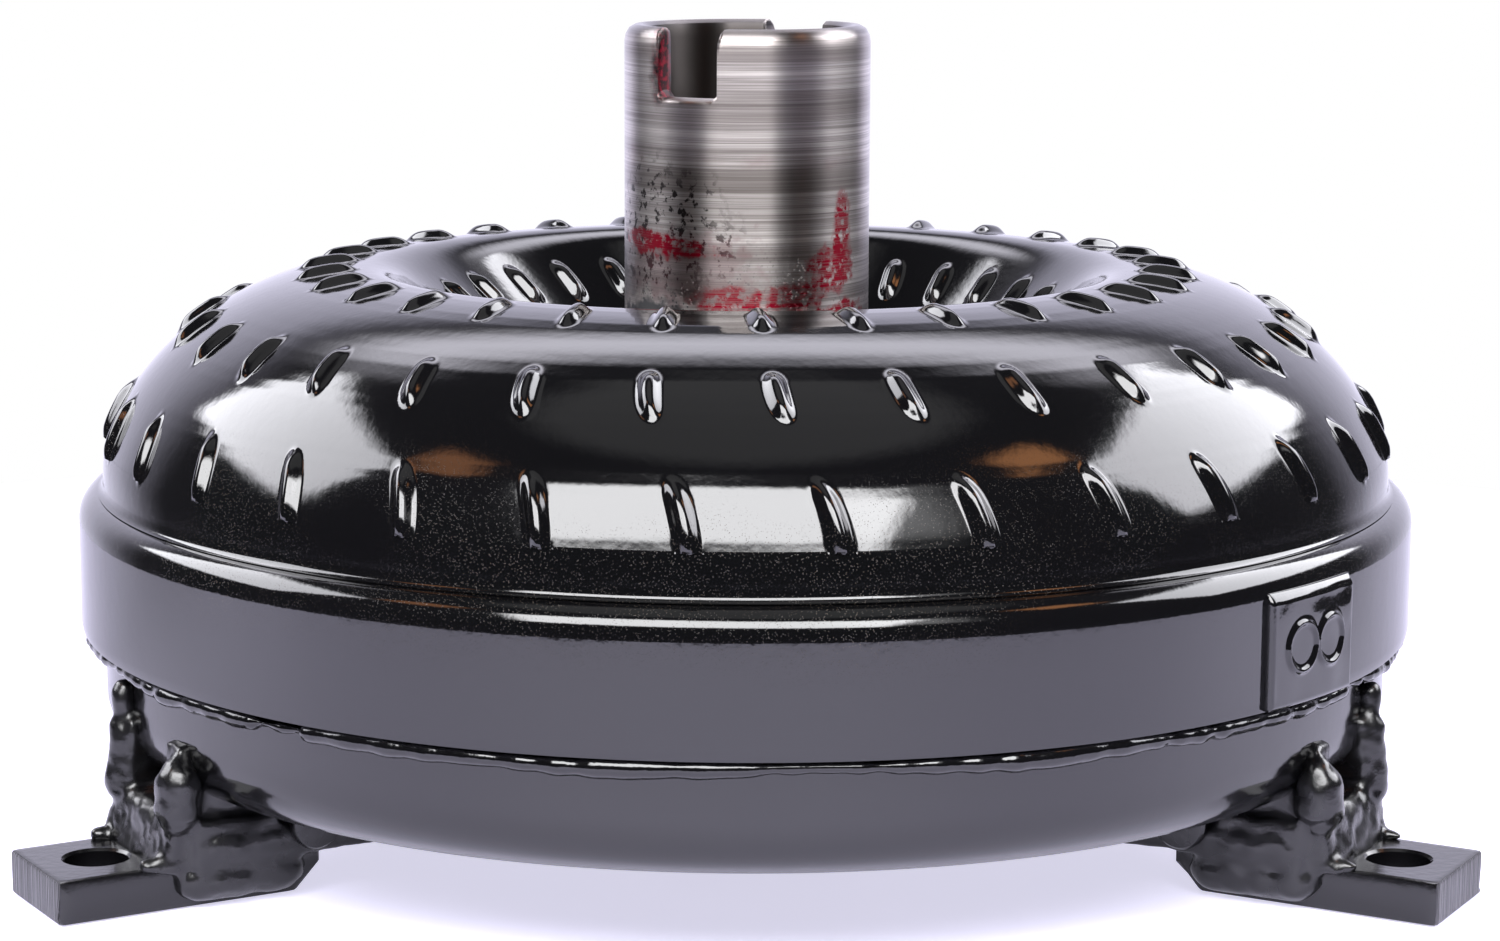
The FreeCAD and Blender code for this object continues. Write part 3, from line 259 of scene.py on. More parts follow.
# %% The four rings of dimples
# Radius, height of the ring on the dome, turn along the blade line, slant, length and width.
DIMPLE_RINGS = [
    {"radius": 60.5, "height": 98.0, "azimuth": 0.2, "slant": 9.0, "length": 10.5, "width": 4.2},
    {"radius": 81.6, "height": 107.0, "azimuth": 3.8, "slant": 6.0, "length": 12.0, "width": 4.2},
    {"radius": 106.4, "height": 98.5, "azimuth": 5.0, "slant": 8.5, "length": 12.0, "width": 4.3},
    {"radius": 122.6, "height": 80.4, "azimuth": 9.0, "slant": 14.5, "length": 14.5, "width": 4.4},
]
DIMPLE_RISE = 1.7
CROWDED_HALF = 3.0
END_STEP = 0.55
OPEN_STEP = 1.5


def ring_place(ring):
    """Distance along the dome's outline of the point nearest a ring."""
    target = np.array([ring["radius"], ring["height"]])
    return fine_run[np.argmin(np.linalg.norm(fine_outline - target, axis=1))]


def crowded_rows():
    """Places along the outline, close together at the dimples' ends and open elsewhere.

    Rows per mm is 1 / OPEN_STEP, and rises to 1 / END_STEP near an end. Adding it up along the
    outline gives a row number at each place, and the rows stand at the whole numbers.
    """
    density = np.full(len(fine_run), 1 / OPEN_STEP)
    for ring in DIMPLE_RINGS:
        for end in (-1, 1):
            place = ring_place(ring) + end * (ring["length"] / 2 - 1.2)
            near = 1 - smoothstep(2.3, 3.3, np.abs(fine_run - place))
            density = np.maximum(density, near / END_STEP)
    number = np.concatenate([[0], np.cumsum(np.diff(fine_run) * density[1:])])
    rows = np.linspace(0, number[-1], 2 + int(number[-1]))
    return np.interp(rows, number, fine_run)


def blade_line(run):
    """Azimuth of a blade along the outline: a Hermite curve through the rings with their slants.

    Between two rings the curve is the usual mix of both ends' azimuths and slopes, where a slope
    is tan(slant) / radius. Outside the rings it flattens out within a few millimetres.
    """
    places = np.array([ring_place(ring) for ring in DIMPLE_RINGS])
    azimuths = np.radians([ring["azimuth"] for ring in DIMPLE_RINGS])
    slopes = np.array([math.tan(math.radians(r["slant"])) / r["radius"] for r in DIMPLE_RINGS])
    k = np.clip(np.searchsorted(places, run) - 1, 0, len(places) - 2)
    gap = places[k + 1] - places[k]
    t = np.clip((run - places[k]) / gap, 0, 1)
    line = ((2 * t**3 - 3 * t**2 + 1) * azimuths[k] + (t**3 - 2 * t**2 + t) * gap * slopes[k]
            + (3 * t**2 - 2 * t**3) * azimuths[k + 1] + (t**3 - t**2) * gap * slopes[k + 1])
    settle = 12.0
    beyond = np.maximum(run - places[-1], 0)
    short = np.maximum(places[0] - run, 0)
    line += slopes[-1] * settle * (1 - np.exp(-beyond / settle))
    return line - slopes[0] * settle * (1 - np.exp(-short / settle))


def dimple_rise(run, across):
    """Height of the dimples: rounded bars whose ends taper.

    With u across over half the width and v along over half the length, the distance from the
    middle is sqrt(u^2 + |v|^3.4), and the height falls from full to nothing as it nears 1.
    """
    height = 0 * run * across
    for ring in DIMPLE_RINGS:
        u = across / (ring["width"] / 2 + 0.35)
        v = np.abs(run - ring_place(ring)) / (ring["length"] / 2 + 0.6)
        distance = np.sqrt(u**2 + v**3.4)
        height = np.maximum(height, DIMPLE_RISE * (1 - smoothstep(0.12, 1.05, distance)))
    return height


# %% Build the dome
CROWDED = 16
SPREAD = 5
dome_run = crowded_rows()
dome_outline = np.stack([np.interp(dome_run, fine_run, fine_outline[:, k]) for k in (0, 1)], -1)
fine_normal = left_of(fine_outline)
dome_normal = np.stack([np.interp(dome_run, fine_run, fine_normal[:, k]) for k in (0, 1)], -1)
print("rows down the dome:", len(dome_run))


def dome_columns(radius):
    """Distances across a blade line, in mm, of one pitch's columns at each radius."""
    crowded = np.linspace(-CROWDED_HALF, CROWDED_HALF, CROWDED)[None, :] + 0 * radius
    share = (np.arange(SPREAD) + 1)[None, :] / (SPREAD + 1)
    free = PITCH * radius - 2 * CROWDED_HALF
    return np.concatenate([crowded, CROWDED_HALF + share * free], 1)


def make_dome():
    """Outer skin with dimples, and a plain inner skin one wall below it."""
    radius = dome_outline[:, 0][:, None]
    across = dome_columns(radius)
    rise = dimple_rise(dome_run[:, None], np.where(across > CROWDED_HALF, 99.0, across))
    normal = dome_normal
    angle = blade_line(dome_run)[:, None] + across / radius
    angle = (angle[:, None, :] + PITCH * np.arange(BLADES)[None, :, None]).reshape(len(radius), -1)
    rise = np.tile(rise, (1, BLADES))
    r = radius + rise * normal[:, 0][:, None]
    z = dome_outline[:, 1][:, None] + rise * normal[:, 1][:, None]
    outer = np.stack([r * np.cos(angle), r * np.sin(angle), z], -1)
    inner_rows = np.unique(np.append(np.arange(0, len(radius), 9), len(radius) - 1))[::-1]
    inner_outline = (dome_outline - normal * SHELL_WALL)[inner_rows]
    r, z = inner_outline[:, 0][:, None], inner_outline[:, 1][:, None]
    angle = angle[inner_rows]
    inner = np.stack([r * np.cos(angle), r * np.sin(angle), z + 0 * angle], -1)
    return grid_piece("impeller_dome", np.concatenate([outer, inner])[::-1], sharp=math.radians(75))


dome = make_dome()

# %% [markdown]
# ## The skirt, the cover and the bead between them
#
# The shell's skirt laps over the front cover, and a weld bead closes the joint under its edge.
# Skirt and cover are plain turned shapes. The bead is a ring too, but its section swells and
# shrinks along the joint, as a bead laid by hand does, with a few sharp undercuts.

# %% Build the skirt
ROUND_COLUMNS = 720


def make_skirt():
    """The shell from the foot of the dome down: crease, rounded shoulder and straight skirt."""
    inner = SKIRT_RADIUS - SKIRT_WALL
    outline = rounded([
        (FLANK_RADIUS - SHELL_WALL, SPLIT_HEIGHT, 0),
        (FLANK_RADIUS - SHELL_WALL, 63.7, 0.5),
        (inner, COVER_RIM + 0.2, 0.3),
        (inner, SKIRT_BOTTOM, 0.3),
        (SKIRT_RADIUS, SKIRT_BOTTOM, 0.9),
        (SKIRT_RADIUS, 67.0, 5.0),
        (FLANK_RADIUS, 67.0, 1.3),
        (FLANK_RADIUS, SPLIT_HEIGHT, 0),
    ])
    return grid_piece("impeller_skirt", turn(even_steps(outline, 1.0), whole_turn(ROUND_COLUMNS))[::-1])


skirt = make_skirt()


# %% Build the front cover
def make_cover():
    """Pressed cover: raised middle, lowest ring, rounded corner and a rim inside the skirt."""
    inner = COVER_RADIUS - SKIRT_WALL
    outline = rounded([
        (0.02, COVER_BOTTOM + 3.0, 0),
        (70.0, COVER_BOTTOM + 3.0, 14.0),
        (84.0, COVER_BOTTOM, 14.0),
        (COVER_RADIUS, COVER_BOTTOM, 9.5),
        (COVER_RADIUS, COVER_RIM, 0.4),
        (inner, COVER_RIM, 0.4),
        (inner, COVER_BOTTOM + 5.0, 5.0),
        (84.0, COVER_BOTTOM + 5.0, 10.0),
        (70.0, COVER_BOTTOM + 8.0, 10.0),
        (0.02, COVER_BOTTOM + 8.0, 0),
    ])
    return grid_piece("front_cover_skin", turn(even_steps(outline, 2.6), whole_turn(ROUND_COLUMNS))[::-1])


cover = make_cover()


# %% Build the closure bead
def ring_bead(name, radius, height, size, spread, lumps, seed, columns):
    """A bead round the shaft line: a lumpy section carried round a circle.

    The section is an ellipse. Its size along the ring is the mean size plus a slow wave, a
    quicker ripple and rare deep notches where the bead ran thin.
    """
    angles = whole_turn(columns)
    circle = np.stack([np.cos(angles), np.sin(angles), 0 * angles], -1) * radius
    slow = rumple(circle, 55.0, seed)
    quick = rumple(circle, 5.0, seed + 1)
    notch = smoothstep(0.55, 0.9, rumple(circle, 20.0, seed + 2))
    swell = 1 + lumps * (0.5 * slow + 0.4 * quick) - 0.55 * notch
    around = np.linspace(0, 2 * math.pi, 18, endpoint=False)[:, None]
    drift = 0.35 * lumps * size * rumple(circle, 30.0, seed + 3)
    r = radius + size * spread * swell * np.cos(around)
    z = height + drift + size * swell * np.sin(around)
    grid = np.stack([r * np.cos(angles), r * np.sin(angles), z], -1)
    return grid_piece(name, grid)


closure_bead = ring_bead("closure_bead", COVER_RADIUS + 1.5, SKIRT_BOTTOM - 1.4, 1.8, 1.3, 0.42, 11, 1500)
hub_bead = ring_bead("hub_bead", high("hub_weld")[1] - 3.2, 86.4, 1.7, 1.7, 0.2, 23, 420)
pilot_bead = ring_bead("pilot_bead", high("pilot_weld")[1] - 1.9, COVER_BOTTOM + 2.1, 2.0, 1.0, 0.2, 31, 420)

# %% [markdown]
# ## The pump hub
#
# The hub is a tube with two square slots in its end, so it isn't quite a turned part. It can
# still be one grid: the columns crowd at the slots' corners, and each column's top rows are
# squeezed down to the slot's floor. The slots' sides are flat and not radial, so the columns
# there lean with the radius.

# %% Build the pump hub
HUB_RADIUS = 23.8125
HUB_BORE = 19.05
SLOT_AZIMUTH = math.radians(239.5)
SLOT_HALF = 6.5
SLOT_FLOOR = HUB_TOP - 13.0
SQUEEZE_FROM = HUB_TOP - 18.0


def slot_side(radius):
    """Angle from the slot's middle to its flat side, at a radius."""
    return np.arcsin(SLOT_HALF / radius)


def hub_columns():
    """Angles from a slot's middle over half a turn, crowded at its corners, and the top there."""
    side = math.degrees(slot_side(HUB_RADIUS))
    inside = np.array([-side, -side + 0.15, -side + 3.1, -9, -4, 0, 4, 9, side - 3.1, side - 0.15, side])
    floor = SLOT_FLOOR + np.array([1.3, 1.2, 0, 0, 0, 0, 0, 0, 0, 1.2, 1.3])
    lip = np.array([side + 0.06, side + 0.5, side + 1.1, side + 2.2])
    lip_top = HUB_TOP - np.array([0.8, 0.25, 0.0, 0.0])
    land = np.arange(side + 4, 180 - side - 3.5, 2.0)
    angles = np.concatenate([inside, lip, land, 180 - lip[::-1]])
    tops = np.concatenate([floor, lip_top, HUB_TOP + 0 * land, lip_top[::-1]])
    return np.radians(np.concatenate([angles, angles + 180])), np.tile(tops, 2)


def make_hub():
    """Closed section of flange, tube, chamfers and bore, carried round with squeezed tops."""
    outline = rounded([
        (HUB_BORE, HUB_FLANGE_BOTTOM, 0),
        (34.0, HUB_FLANGE_BOTTOM, 0.4),
        (34.0, 86.0, 0.4),
        (HUB_RADIUS, 86.0, 3.0),
        (HUB_RADIUS, HUB_TOP - 2.2, 0.7),
        (HUB_RADIUS - 1.3, HUB_TOP, 0.5),
        (HUB_BORE + 0.7, HUB_TOP, 0.3),
        (HUB_BORE, HUB_TOP - 0.9, 0.3),
        (HUB_BORE, HUB_FLANGE_BOTTOM, 0),
    ])
    outline = even_steps(outline, 1.4)[:-1]
    r, z = outline[:, 0][:, None], outline[:, 1][:, None]
    angles, tops = hub_columns()
    from_slot = (angles + math.pi / 2) % math.pi - math.pi / 2
    side = slot_side(HUB_RADIUS)
    lean = np.clip(1 - (np.abs(from_slot) - side) / math.radians(14), 0, 1)
    lean = np.where(np.abs(from_slot) < side, np.abs(from_slot) / side, lean)
    bore_ish = np.clip(r, HUB_BORE, HUB_RADIUS)
    shifted = angles + np.sign(from_slot) * lean * (slot_side(bore_ish) - side)
    squeeze = (tops - SQUEEZE_FROM) / (HUB_TOP - SQUEEZE_FROM)
    z = np.where(z > SQUEEZE_FROM, SQUEEZE_FROM + (z - SQUEEZE_FROM) * squeeze, z)
    shifted = shifted + SLOT_AZIMUTH
    grid = np.stack([r * np.cos(shifted), r * np.sin(shifted), z], -1)
    return grid_piece("pump_hub_turned", grid[::-1])


hub = make_hub()

# %% [markdown]
# ## Lug bars
#
# Each lug starts as a piece of flat bar with a drilled hole. The grid's columns run round the hole
# and the bar's edge at once, and its rows run from the hole across the face, down the side and
# back underneath. Two attributes keep each point's place along and across its own bar, so that
# the saw marks on the cut end can follow the bar whichever way it points.

# %% Build the lug bars
LUGS = 3
LUG_AZIMUTHS = [math.pi / 2 + 2 * math.pi * k / LUGS for k in range(LUGS)]
BOLT_RADIUS = 136.525
HOLE_RADIUS = 5.8
BAR_ROOT = 98.0


def bar_edge(share, root, inset):
    """Points round a rectangle with slightly rounded corners, at shares of its perimeter."""
    half = BAR_HALF - inset
    x0, x1 = root + inset, LUG_END - inset
    path = rounded([(BOLT_RADIUS, -half, 0), (x1, -half, 0.8), (x1, half, 0.8),
                    (x0, half, 0.8), (x0, -half, 0.8), (BOLT_RADIUS, -half, 0)])
    run = along(path)
    return np.stack([np.interp(share * run[-1], run, path[:, k]) for k in (0, 1)], -1)


def to_lug(points, azimuth):
    """Turn points from the lug's own frame, x outwards and y across, to its place."""
    c, s = math.cos(azimuth), math.sin(azimuth)
    x, y, z = np.moveaxis(points, -1, 0)
    return np.stack([x * c - y * s, x * s + y * c, z], -1)


def keep_places(piece, points):
    """Store each vertex's distance out and across in its lug's own frame, in mm."""
    for word, k in (("outwards", 0), ("across", 1)):
        attribute = piece.data.attributes.new(word, "FLOAT", "POINT")
        attribute.data.foreach_set("value", points.reshape(-1, 3)[:, k].astype(np.float32))


def bar_grid():
    """Rows from the hole's wall over the top, down the edge, underneath and back up the hole."""
    share = np.linspace(0, 1, 160, endpoint=False)
    rows = []
    outer = bar_edge(share, BAR_ROOT, 0)
    aim = np.arctan2(outer[:, 1], outer[:, 0] - BOLT_RADIUS)
    circle = np.stack([np.cos(aim), np.sin(aim)], -1)
    for z, radius in ((BAR_THICKNESS - 0.5, HOLE_RADIUS), (BAR_THICKNESS, HOLE_RADIUS + 0.5)):
        rows.append((circle * radius + [BOLT_RADIUS, 0], z))
    for k in np.linspace(0.15, 1, 7):
        face = bar_edge(share, BAR_ROOT, 0.5)
        rows.append(((circle * (HOLE_RADIUS + 0.5) + [BOLT_RADIUS, 0]) * (1 - k) + face * k, BAR_THICKNESS))
    for z, root, inset in ((BAR_THICKNESS - 0.15, BAR_ROOT, 0.14), (BAR_THICKNESS - 0.5, BAR_ROOT, 0),
                           (5.0, BAR_ROOT, 0), (0.5, BAR_ROOT + 4.5, 0), (0.15, BAR_ROOT + 4.8, 0.14),
                           (0.0, BAR_ROOT + 5.0, 0.5)):
        rows.append((bar_edge(share, root, inset), z))
    under = bar_edge(share, BAR_ROOT + 5.0, 0.5)
    for k in np.linspace(0.85, 0, 6):
        rows.append(((circle * (HOLE_RADIUS + 0.4) + [BOLT_RADIUS, 0]) * (1 - k) + under * k, 0.0))
    rows.append((circle * HOLE_RADIUS + [BOLT_RADIUS, 0], 0.4))
    return np.stack([np.concatenate([xy, np.full((len(xy), 1), z)], 1) for xy, z in rows])


bars = []
for number, azimuth in enumerate(LUG_AZIMUTHS, start=1):
    local = bar_grid()
    bar = grid_piece(f"lug_bar_{number}_cut", to_lug(local, azimuth))
    keep_places(bar, local)
    bars.append(bar)

# %% [markdown]
# ## Lug weldments
#
# Above each bar a bracket, a round bar and many short beads have run together under the paint. A
# single grid can't branch like that. So the bracket is built as blocks swept from side outlines,
# beads are added as tubes along paths, and a voxel remesh melts them into one skin, which is
# smoothed and given small lumps by moving its points with the same sine lumps as before.

# %% Beads as tubes
def bead(path, radius, ripple, seed):
    """A closed tube along a path: its radius ripples, and shrinks to nothing at both ends.

    The tube's circles stand square to the path. Two directions square to the path come from the
    upright direction and the path's own, by cross products.
    """
    path = even_steps(np.asarray(path, float), 0.8)
    ahead = np.gradient(path, axis=0)
    ahead /= np.linalg.norm(ahead, axis=1)[:, None]
    guide = np.where(np.abs(ahead[:, 2:3]) > 0.8, [[1.0, 0, 0]], [[0, 0, 1.0]])
    side = np.cross(ahead, guide)
    side /= np.linalg.norm(side, axis=1)[:, None]
    up = np.cross(side, ahead)
    run = along(path)
    ends = np.sqrt(np.clip(np.minimum(run, run[-1] - run) / radius, 0.001, 1))
    swell = radius * ends * (1 + ripple * rumple(path, 4.5, seed))
    around = np.linspace(0, 2 * math.pi, 14, endpoint=False)
    ring = (side[:, None, :] * np.cos(around)[None, :, None] + up[:, None, :] * np.sin(around)[None, :, None])
    grid = path[:, None, :] + ring * swell[:, None, None]
    return grid, grid_faces(len(path), len(around), False, True)


def tube_ends(rows, columns):
    """Strips of squares that close a tube's two ends. The number of columns is even."""
    k = np.arange(columns // 2 - 1)
    first = np.stack([k, columns - 1 - k, columns - 2 - k, k + 1], -1)
    last = (rows - 1) * columns + first[:, ::-1]
    return np.concatenate([first, last])


# %% Build the weldments
VOXEL = 0.75
BRACKET_HALF = 17.0


def cover_side(y, z):
    """How far out the cover's side, or its rounded corner, stands at a place across and a height."""
    corner = 9.5
    drop = np.clip(COVER_BOTTOM + corner - z, 0, corner)
    radius = COVER_RADIUS - corner + np.sqrt(corner**2 - drop**2)
    return np.sqrt(radius**2 - np.asarray(y, float)**2)


def lug_beads(number):
    """The beads of one lug as (path, radius, ripple), in the lug's own frame.

    One side carries a thick column of weld, and the other a slimmer one that runs up the cover's
    side as a fin. The sides swap between lugs.
    """
    rng = np.random.default_rng(40 + number)
    thick_side = 1 if number == 2 else -1
    beads = []
    for side in (-1, 1):
        loose = rng.uniform(-0.25, 0.25, 8)
        below = [(x, side * (13.0 + d), 4.9 + d) for x, d in zip(np.linspace(101, 127, 8), loose)]
        beads.append((below, 4.1, 0.04))
        middle = [(x, side * (13.9 + d), 11.2 - d) for x, d in zip(np.linspace(101, 124.5, 8), loose)]
        beads.append((middle, 4.0, 0.04))
        edge = [(x, side * (12.0 + d), 8.6) for x, d in zip(np.linspace(125.5, 133.5, 6), loose)]
        beads.append((edge, 1.5, 0.22))
        place, thick, top = (14.6, 4.4, 29.0) if side == thick_side else (12.6, 2.8, 32.0)
        column = [(126.2 + 0.1 * (24 - z), side * (place + d), z)
                  for z, d in zip(np.linspace(14.0, top, 8), loose)]
        beads.append((column, thick, 0.05))
        if side != thick_side:
            fin = [(cover_side(0, z) + 0.4, side * (place + 0.1 * (z - 30)), z) for z in np.linspace(26.0, 37.5, 6)]
            beads.append((fin, 2.2, 0.08))
    return beads


def melted(name, parts, wavelength, height, seed, azimuth):
    """Join closed parts, melt them with a voxel remesh, smooth them and add lumps."""
    points = []
    faces = []
    count = 0
    for part_points, part_faces in parts:
        points.append(part_points.reshape(-1, 3))
        faces.append(part_faces + count)
        count += len(points[-1])
    raw = make_mesh(f"{name}_raw", np.concatenate(points), np.concatenate(faces))
    remesh = raw.modifiers.new("melt", "REMESH")
    remesh.mode = "VOXEL"
    remesh.voxel_size = VOXEL * MM
    smooth = raw.modifiers.new("soften", "SMOOTH")
    smooth.factor = 0.6
    smooth.iterations = 7
    evaluated = raw.evaluated_get(bpy.context.evaluated_depsgraph_get())
    mesh = bpy.data.meshes.new_from_object(evaluated)
    bpy.data.objects.remove(raw)
    local = np.empty(len(mesh.vertices) * 3)
    normal = np.empty(len(mesh.vertices) * 3)
    mesh.vertices.foreach_get("co", local)
    mesh.vertices.foreach_get("normal", normal)
    local = local.reshape(-1, 3) / MM
    lumps = rumple(local, wavelength, seed) + 0.5 * rumple(local, wavelength / 2.6, seed + 1)
    above_floor = smoothstep(0.5, 3.0, local[:, 2])
    local = local + normal.reshape(-1, 3) * (lumps * height * above_floor)[:, None]
    mesh.vertices.foreach_set("co", (to_lug(local, azimuth) * MM).ravel())
    mesh.polygons.foreach_set("use_smooth", np.ones(len(mesh.polygons), bool))
    mesh.update()
    mesh.name = name
    piece = bpy.data.objects.new(name, mesh)
    bpy.context.scene.collection.objects.link(piece)
    keep_places(piece, local)
    print(f"{name}: {len(mesh.polygons)} faces after melting")
    return piece


def bracket_part():
    """The bracket's closed blocks, each a side outline swept across: body, face and two webs."""
    parts = []
    side = np.array([(85.0, 8.0), (124.0, 8.0), (124.0, 16.5), (108.0, 16.5), (107.0, 13.5), (85.0, 13.5)])
    face = np.array([(110.0, 7.0), (130.2, 7.0), (129.6, 9.0), (127.4, 16.0), (125.8, 17.6), (110.0, 17.0)])
    web = np.array([(108.0, 8.0), (128.6, 8.0), (127.2, 17.0), (126.0, 30.0), (119.0, 33.0), (110.0, 20.0)])
    for outline, y0, y1 in ((side, -BRACKET_HALF, BRACKET_HALF), (face, -14.6, 14.6), (web, 8.6, 15.0),
                            (web, -15.0, -8.6)):
        near = np.concatenate([outline, np.full((len(outline), 1), y0)], 1)[:, [0, 2, 1]]
        far = np.concatenate([outline, np.full((len(outline), 1), y1)], 1)[:, [0, 2, 1]]
        ring = np.stack([near, far])
        n = len(outline)
        caps = tube_ends(2, n)
        parts.append((ring, np.concatenate([grid_faces(2, n, False, True), caps])))
    return parts


weldments = []
for number, azimuth in enumerate(LUG_AZIMUTHS, start=1):
    parts = bracket_part()
    for path, radius, ripple in lug_beads(number):
        grid, faces = bead(path, radius, ripple, 60 + number)
        rows, columns = grid.shape[:2]
        parts.append((grid, np.concatenate([faces, tube_ends(rows, columns)])))
    weldments.append(melted(f"lug_weldment_{number}", parts, 7.0, 0.22, 80 + number, azimuth))

# %% [markdown]
# ## Round bars and the balance plate
#
# A short round bar lies across each lug's ledge. It is a turned shape lying on its side. The
# balance plate is a thin curved plate with two small raised rings on it, one sheet of points for
# its face and one for its back, stitched together round the edge.

# %% Build the round bars
ROD_PLACE = 101.0
ROD_RADIUS = 5.0
ROD_HALF = 19.0
rods = []
for number, azimuth in enumerate(LUG_AZIMUTHS, start=1):
    half = even_steps(rounded([(0.02, -ROD_HALF, 0), (ROD_RADIUS, -ROD_HALF, 0.9), (ROD_RADIUS, ROD_HALF, 0.9),
                               (0.02, ROD_HALF, 0)]), 0.9)
    spun = turn(half, whole_turn(48))
    height = COVER_BOTTOM - 0.05 - ROD_RADIUS
    local = np.stack([ROD_PLACE + spun[..., 0], spun[..., 2], height - spun[..., 1]], -1)
    local = local + (rumple(local, 9.0, 90 + number) * 0.12)[..., None] * np.array([1.0, 0, 1.0])
    rod = grid_piece(f"lug_rod_{number}_bar", to_lug(local, azimuth)[::-1])
    rods.append(rod)


# %% Build the balance plate
def stitched(name, face, back):
    """A closed sheet from two equal grids, with a strip of squares round their edge."""
    rows, columns = face.shape[:2]
    count = rows * columns
    index = np.arange(count).reshape(rows, columns)
    edge = np.concatenate([index[0], index[1:, -1], index[-1, -2::-1], index[-2:0:-1, 0]])
    after = np.roll(edge, -1)
    front = grid_faces(rows, columns, False, False)
    rear = front[:, ::-1] + count
    rim = np.stack([edge, edge + count, after + count, after], -1)
    points = np.concatenate([face.reshape(-1, 3), back.reshape(-1, 3)])
    piece = make_mesh(name, points, np.concatenate([front, rear, rim]))
    print(f"{name}: {rows} x {columns} points on each face")
    return piece


def make_plate():
    """Curved plate on the skirt: rounded edges, and two rings raised on its face."""
    box_low, box_high = low("balance_plate"), high("balance_plate")
    middle = math.atan2(box_low[1] + box_high[1], box_low[0] + box_high[0])
    half_turn = math.radians(5.85)
    turns = np.linspace(-half_turn, half_turn, 120)[None, :]
    heights = np.linspace(box_low[2], box_high[2] + 1.0, 100)[:, None]
    x = turns * (SKIRT_RADIUS + 1.5)
    z = heights - heights.mean()
    half_x, half_z = half_turn * (SKIRT_RADIUS + 1.5), np.ptp(heights) / 2
    to_edge = np.minimum(half_x - np.abs(x), half_z - np.abs(z))
    edge_round = 0.55 * (1 - np.sqrt(np.clip(to_edge, 0, 0.8) / 0.8))
    rise = 0 * x * z
    for place in (-4.6, 4.6):
        ring = np.hypot(x - place, z) / 4.3
        rise = np.maximum(rise, 0.6 * np.exp(-((ring - 1) / 0.13)**2))
    radius = SKIRT_RADIUS + 1.5 - edge_round + rise - 0.9 * smoothstep(8.5, half_z, z)
    sag = 0.12 * rumple(np.stack([x + 0 * z, z + 0 * x, 0 * x * z], -1), 9.0, 7)
    radius = radius + sag * smoothstep(0, 2, to_edge)
    angles = middle + turns + 0 * heights
    face = np.stack([radius * np.cos(angles), radius * np.sin(angles), heights + 0 * turns], -1)
    flat = SKIRT_RADIUS - 0.1 + 0 * radius
    back = np.stack([flat * np.cos(angles), flat * np.sin(angles), heights + 0 * turns], -1)
    return stitched("balance_plate_skin", face, back)


plate = make_plate()

# %% [markdown]
# ## Finishes as sums
#
# A finish is a node tree, and node trees are easier to read as arithmetic. The class below wraps
# one socket. Adding, multiplying or raising wires adds the Math nodes that do it, and any other
# node comes from one method. Every pattern reads Object coordinates, which are the same for all
# pieces here because every object sits at the origin.

# %% The wire class
class Wire:
    """A shader socket that can stand in a sum."""

    def __init__(self, tree, socket=None):
        self.tree = tree
        self.socket = socket

    def node(self, kind, settings=None, sockets=None, out=0):
        """Add a node: its settings first, then a value or a link for each socket."""
        made = self.tree.nodes.new(kind)
        for key, value in (settings or {}).items():
            if key == "stops":
                fill_ramp(made.color_ramp, value)
            else:
                setattr(made, key, value)
        for key, value in (sockets or {}).items():
            if isinstance(value, Wire):
                self.tree.links.new(value.socket, made.inputs[key])
            else:
                made.inputs[key].default_value = value
        return Wire(self.tree, made.outputs[out])

    def maths(self, operation, first, second=0.0):
        return self.node("ShaderNodeMath", {"operation": operation}, {0: first, 1: second})

    def __add__(self, other):
        return self.maths("ADD", self, other)

    def __sub__(self, other):
        return self.maths("SUBTRACT", self, other)

    def __rsub__(self, other):
        return self.maths("SUBTRACT", other, self)

    def __mul__(self, other):
        return self.maths("MULTIPLY", self, other)

    def __truediv__(self, other):
        return self.maths("DIVIDE", self, other)

    def __pow__(self, other):
        return self.maths("POWER", self, other)

    __radd__ = __add__
    __rmul__ = __mul__

    def clipped(self):
        """The wire held between 0 and 1."""
        return self.node("ShaderNodeClamp", {}, {"Value": self})

    def steps(self, low_edge, high_edge):
        """0 below one edge, 1 above the other, smooth between."""
        settings = {"interpolation_type": "SMOOTHSTEP"}
        sockets = {"Value": self, "From Min": low_edge, "From Max": high_edge}
        return self.node("ShaderNodeMapRange", settings, sockets)


def fill_ramp(ramp, stops):
    """Give a colour ramp its stops, each a place and a colour."""
    while len(ramp.elements) < len(stops):
        ramp.elements.new(1.0)
    for element, (place, colour) in zip(ramp.elements, stops):
        element.position = place
        element.color = (*colour, 1.0)


